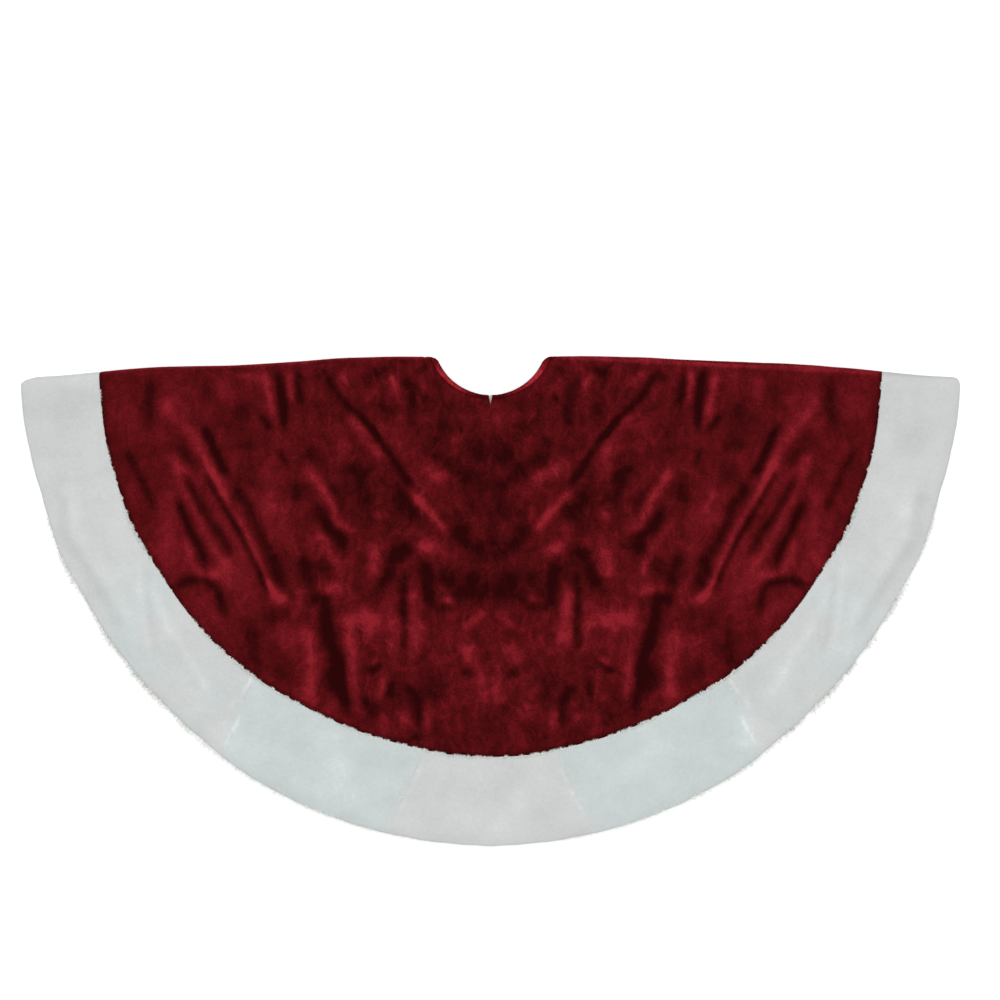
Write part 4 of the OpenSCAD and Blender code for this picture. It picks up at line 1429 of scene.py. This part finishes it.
def facing_pieces():
    arcs = (FACING_NECK, LINING_HEM)
    boundaries = [edge_line(1, FACING_W, *arcs, way=-1), slit_line(*arcs, FACING_FROM_SLIT)]
    for half in HALVES:
        facing = sheet_piece(half + "_slit_facing_tape", half, boundaries, arcs, FACING_HEIGHTS,
                             LINING_RIMS, LINING_STEP, across_step=FACING_STEP)
        finish_piece(facing, FACING_CLOTH, half, [half + "_slit_facing"])
        rows = [[slit_point(along, inset) for along in FACING_ROWS_RUN]
                for inset in (LINING_FROM_SLIT + 0.001, FACING_W - 0.003)]
        stitches(half + "_facing_stitches", rows, half, FACING_H)


def lining_hem_stitches():
    arc = (LINING_HEM[0], LINING_HEM[1] - LINING_STITCHES_IN)
    widest = edge_angle(arc, LINING_STITCHES_FROM_EDGE)
    for half in HALVES:
        angles = np.linspace(-widest, widest, 240)
        outwards = np.stack([np.sin(angles), -np.cos(angles)], -1)
        path = arc_point(arc, angles) - outwards * (LINING_FOLLOWS * hem_inset(angles))[:, None]
        stitches(half + "_lining_stitches", [path], half, LINING_H)


def closure_pieces():
    """Hook pads on the front half's facing, and loop pads on the back half's plush."""
    kinds = (("front", "hook", HOOK_TAPE, (HOOK_H, FACING_H), HOOK_H),
             ("back", "loop", LOOP_TAPE, (TOP_H - PAD_SINKS, TOP_H), TOP_H - 0.0004))
    for half, kind, material, heights, stitch_h in kinds:
        for number, at in enumerate(PADS_AT, 1):
            pad = slit_patch(f"{kind}_pad_{number}", half, at, PAD_SIZE, PAD_INSET, heights)
            finish_patch(pad, material, half, kind + "_pads")
        rings = [ring_path(at, PAD_SIZE, PAD_INSET, PAD_SEWN_IN) for at in PADS_AT]
        stitches(kind + "_pad_stitches", rings, half, stitch_h, length=0.0026, gap=0.0010,
                 radius=0.00022)


def label_piece():
    label = slit_patch("care_label_satin", "back", LABEL_AT, LABEL_SIZE, LABEL_INSET,
                       LABEL_HEIGHTS, wave=LABEL_RIPPLE)
    finish_patch(label, LABEL_SATIN, "back", "care_label")
    near = LABEL_AT - LABEL_SIZE[0] / 2 + 0.002
    row = [slit_point(near, LABEL_INSET + side) for side in (0.001, LABEL_SIZE[1] - 0.001)]
    stitches("label_stitches", [row], "back", LABEL_HEIGHTS[0], length=0.0022, gap=0.0009,
             radius=0.0002)


lining_pieces()
facing_pieces()
lining_hem_stitches()
closure_pieces()
label_piece()
panel_pieces()
binding_pieces()
border_pieces()


# ---------------------------------------------------------------- floor, lights and camera

def make_stage():
    size = 6.0
    below_skirt = 0.0003
    corners = [(-size, -size), (size, -size), (size, size), (-size, size)]
    floor = mesh_object("floor", [(x, y, -below_skirt) for x, y in corners], [(0, 1, 2, 3)],
                        smooth_shaded=False)
    floor.data.materials.append(
        floor_material("pale_floor", (0.95, 0.95, 0.95), (0.93, 0.93, 0.93)))


def make_world(strength):
    world = bpy.data.worlds.new("studio")
    world.use_nodes = True
    background = world.node_tree.nodes["Background"]
    background.inputs["Color"].default_value = (1, 1, 1, 1)
    background.inputs["Strength"].default_value = strength
    bpy.context.scene.world = world


def area_light(name, location, energy, target=(0, -0.3, 0), size=(2.4, 1.2)):
    """A wide soft light that points at the middle of the skirt."""
    light = bpy.data.lights.new(name, "AREA")
    light.shape = "RECTANGLE"
    light.size, light.size_y = size
    light.energy = energy
    obj = bpy.data.objects.new(name, light)
    obj.location = location
    towards = np.array(target) - np.array(location)
    obj.rotation_euler = Vector(towards).to_track_quat("-Z", "Y").to_euler()
    bpy.context.scene.collection.objects.link(obj)


def make_camera():
    """Straight above, framed as wide as the skirt with a small margin on each side."""
    middle_x, middle_y = 0.0123, -0.1898
    view_width = 1.2955
    camera = bpy.data.cameras.new("camera")
    camera.lens, camera.sensor_width = 85, 36
    camera.clip_end = 20
    above_skirt = view_width * camera.lens / camera.sensor_width
    obj = bpy.data.objects.new("camera", camera)
    obj.location = (middle_x, middle_y, FOLD_Z + TOP_H + above_skirt)
    bpy.context.scene.collection.objects.link(obj)
    bpy.context.scene.camera = obj


make_stage()
make_world(strength=1.12)
area_light("key", location=(0, 1.6, 2.2), energy=44)
area_light("fill", location=(0, -2.0, 2.4), energy=21)
make_camera()
bpy.context.scene.view_settings.view_transform = "Standard"
